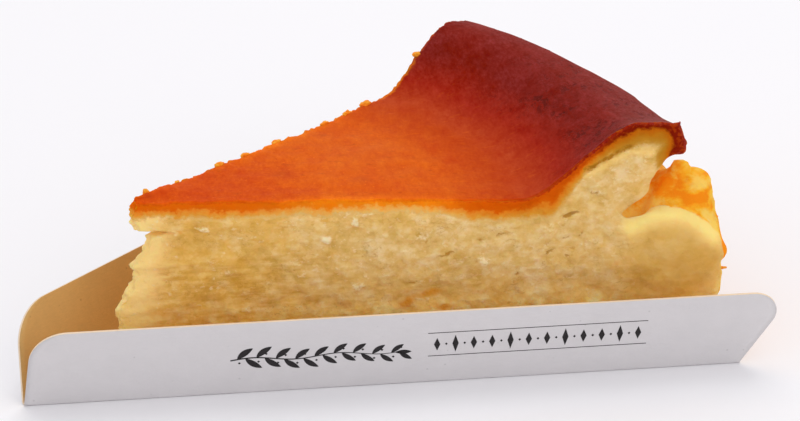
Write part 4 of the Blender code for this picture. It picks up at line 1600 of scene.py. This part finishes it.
def leaf(foot, angle, length, width, bend):
    """Outline of a pointed leaf that grows from foot."""
    line, widths = [], []
    ahead = Vector((math.cos(angle), math.sin(angle)))
    side = Vector((-ahead.y, ahead.x))
    for step in range(LEAF_STEPS + 1):
        share = step / LEAF_STEPS
        belly = math.sin(math.pi * share)
        line.append(foot + ahead * length * share + side * length * bend * belly)
        widths.append(max(width * belly ** 0.8, FINEST_LINE))
    return stroke(line, widths)


def lozenge(centre, width, height):
    corners = (-0.5 * width, 0.0), (0.0, -0.5 * height), (0.5 * width, 0.0), (0.0, 0.5 * height)
    return [centre + Vector(corner) for corner in corners]


def vine_shapes():
    """A thin, slightly wavy stem with slender leaves on either side, and berries."""
    start, length, middle, swing = 43.5 * MM, 35.5 * MM, 9.0 * MM, 0.5 * MM
    leaf_length, leaf_width, leaf_angle = 4.4 * MM, 1.45 * MM, math.radians(40.0)
    berry_size, berry_reach = 0.6 * MM, 1.1 * MM
    pairs, stem_steps = 9, 90

    def stem(share):
        return Vector((
            start + length * share, middle + swing * math.sin(4.0 * math.pi * share)))

    line = [stem(0.96 * step / stem_steps) for step in range(stem_steps + 1)]
    widths = [lerp(0.34, 0.16, step / stem_steps) * MM for step in range(stem_steps + 1)]
    shapes = [stroke(line, widths)]
    for number in range(pairs):
        share = (number + 0.35) / pairs
        size = 1.0 - 0.25 * share
        for side, shift in ((1.0, 0.0), (-1.0, 0.42 / pairs)):
            foot = stem(share + shift)
            shapes.append(leaf(
                foot, side * leaf_angle, leaf_length * size, leaf_width * size, 0.05 * side))
            berry = stem(share + shift + 0.1 / pairs) + Vector((0.0, -side * berry_reach))
            shapes.append(lozenge(berry, berry_size, berry_size))
    shapes.append(leaf(stem(0.95), 0.0, 3.4 * MM, 1.1 * MM, 0.0))
    return shapes


def row_shapes():
    """A line of slender lozenges with dots between them and a hairline on either side."""
    start, length, middle = 84.0 * MM, 45.5 * MM, 10.2 * MM
    count, line_steps, line_width, line_reach = 12, 30, 0.16 * MM, 3.1 * MM
    tallest, tall, wide, dot = 4.6 * MM, 3.4 * MM, 1.3 * MM, (0.55 * MM, 0.7 * MM)
    shapes = []
    for number in range(count):
        x = start + length * (number + 0.5) / count
        shapes.append(lozenge(Vector((x, middle)), wide, tallest if number % 3 == 1 else tall))
        if number < count - 1:
            shapes.append(lozenge(Vector((x + 0.5 * length / count, middle)), *dot))
    for height in (middle - line_reach, middle + line_reach):
        line = [
            Vector((start + length * step / line_steps, height))
            for step in range(line_steps + 1)
        ]
        shapes.append(stroke(line, [line_width] * len(line)))
    return shapes


class CAKE_OT_print(bpy.types.Operator):
    """Print the near flap with a plain leaf vine and a row of lozenges"""

    bl_idname = "cake.print"
    bl_label = "Printed ornament"

    def execute(self, context):
        settings = context.scene.cake_print
        body = bmesh.new()
        back = 0.5 * CARD_THICKNESS + settings.lift
        for shape in vine_shapes() + row_shapes():
            under, over = (
                [body.verts.new(flap_face(p.x, p.y, lift)) for p in shape]
                for lift in (back, back + settings.film)
            )
            count = len(shape)
            for index in range(count):
                after = (index + 1) % count
                body.faces.new([under[index], under[after], over[after], over[index]])
            body.faces.new(over)
            body.faces.new(under[::-1])
        bmesh.ops.recalc_face_normals(body, faces=body.faces)
        bmesh.ops.triangulate(body, faces=body.faces)
        mesh = mesh_of(body, "printed_ornament")
        piece = new_piece(mesh, [ink_material(settings.ink)])
        return {"FINISHED"}


def add_floor(settings):
    recipe = Recipe("pale_floor")
    cloud = recipe.uneven(400.0, 2.0, 0.5, 3.0)
    material = recipe.finish(
        {"Specular IOR Level": 0.1, "Metallic": 0.0},
        Base_Color=tint(recipe, settings.floor, 1.0 + cloud * 0.02), Roughness=0.8,
    )
    body = bmesh.new()
    bmesh.ops.create_grid(body, x_segments=8, y_segments=8, size=FLOOR_HALF)
    mesh = mesh_of(body, "floor")
    mesh.materials.append(material)
    floor = linked("floor", mesh)


def add_even_light(strength):
    world = bpy.data.worlds.new("even_light")
    world.use_nodes = True
    background = world.node_tree.nodes["Background"]
    background.inputs["Color"].default_value = (0.98, 0.98, 1.0, 1.0)
    background.inputs["Strength"].default_value = strength
    bpy.context.scene.world = world


def add_area_light(name, place, size, power, colour):
    """A round lamp at a place, turned towards the cake."""
    data = bpy.data.lights.new(name, "AREA")
    data.shape = "DISK"
    data.size = size
    data.energy = power
    data.color = colour
    light = linked(name, data)
    light.location = place
    light.rotation_mode = "QUATERNION"
    light.rotation_quaternion = (LIGHT_TARGET - Vector(place)).to_track_quat("-Z", "Y")


def add_camera(settings):
    """The camera, turned about its target by yaw and elevation, then rolled."""
    data = bpy.data.cameras.new("camera")
    data.sensor_width = 36.0
    data.lens = settings.lens
    data.clip_start = 0.01
    data.clip_end = 20.0
    yaw, elevation, roll = settings.yaw, settings.elevation, settings.roll
    back = Vector((
        -math.sin(yaw) * math.cos(elevation), -math.cos(yaw) * math.cos(elevation),
        math.sin(elevation)))
    level = Vector((math.cos(yaw), -math.sin(yaw), 0.0))
    upright = back.cross(level)
    right = level * math.cos(roll) + upright * math.sin(roll)
    up = upright * math.cos(roll) - level * math.sin(roll)
    place = FOLD_APEX + CAMERA_TARGET + back * settings.distance
    camera = linked("camera", data)
    turned = Matrix((right, up, back)).transposed().to_4x4()
    camera.matrix_world = Matrix.Translation(place) @ turned
    bpy.context.scene.camera = camera


class CAKE_OT_stage(bpy.types.Operator):
    """Make the floor, the lights and the camera"""

    bl_idname = "cake.stage"
    bl_label = "Floor, lights and camera"

    def execute(self, context):
        settings = context.scene.cake_stage
        add_floor(settings)
        add_even_light(settings.sky)
        add_area_light("light_above", (0.05, 0.35, 0.95), 1.0, settings.key, (1.0, 0.98, 0.97))
        add_area_light("light_in_front", (0.5, -0.9, 0.6), 0.8, settings.fill, (1.0, 0.98, 0.96))
        add_camera(settings)
        context.scene.view_settings.view_transform = "Standard"
        return {"FINISHED"}


class CAKE_PT_panel(bpy.types.Panel):
    """The pieces of the cake slice, each with a button that makes it"""

    bl_idname = "CAKE_PT_panel"
    bl_label = "Cheesecake slice"
    bl_space_type = "VIEW_3D"
    bl_region_type = "UI"
    bl_category = "Cake"

    def draw(self, context):
        for operator in OPERATORS:
            self.layout.operator(operator.bl_idname)


OPERATORS = (CAKE_OT_stage, CAKE_OT_slice, CAKE_OT_crumbs, CAKE_OT_holder, CAKE_OT_print)
SETTINGS = {
    "cake_slice": SliceSettings, "cake_crumbs": CrumbSettings,
    "cake_holder": HolderSettings, "cake_print": PrintSettings,
    "cake_stage": StageSettings,
}


def register():
    for name, group in SETTINGS.items():
        bpy.utils.register_class(group)
        setattr(bpy.types.Scene, name, PointerProperty(type=group))
    for kind in (*OPERATORS, CAKE_PT_panel):
        bpy.utils.register_class(kind)


def unregister():
    for kind in (CAKE_PT_panel, *reversed(OPERATORS)):
        bpy.utils.unregister_class(kind)
    for name, group in SETTINGS.items():
        delattr(bpy.types.Scene, name)
        bpy.utils.unregister_class(group)


def main():
    register()
    bpy.ops.cake.stage()
    bpy.ops.cake.slice()
    bpy.ops.cake.crumbs()
    bpy.ops.cake.holder()
    bpy.ops.cake.print()


if __name__ == "__main__":
    main()
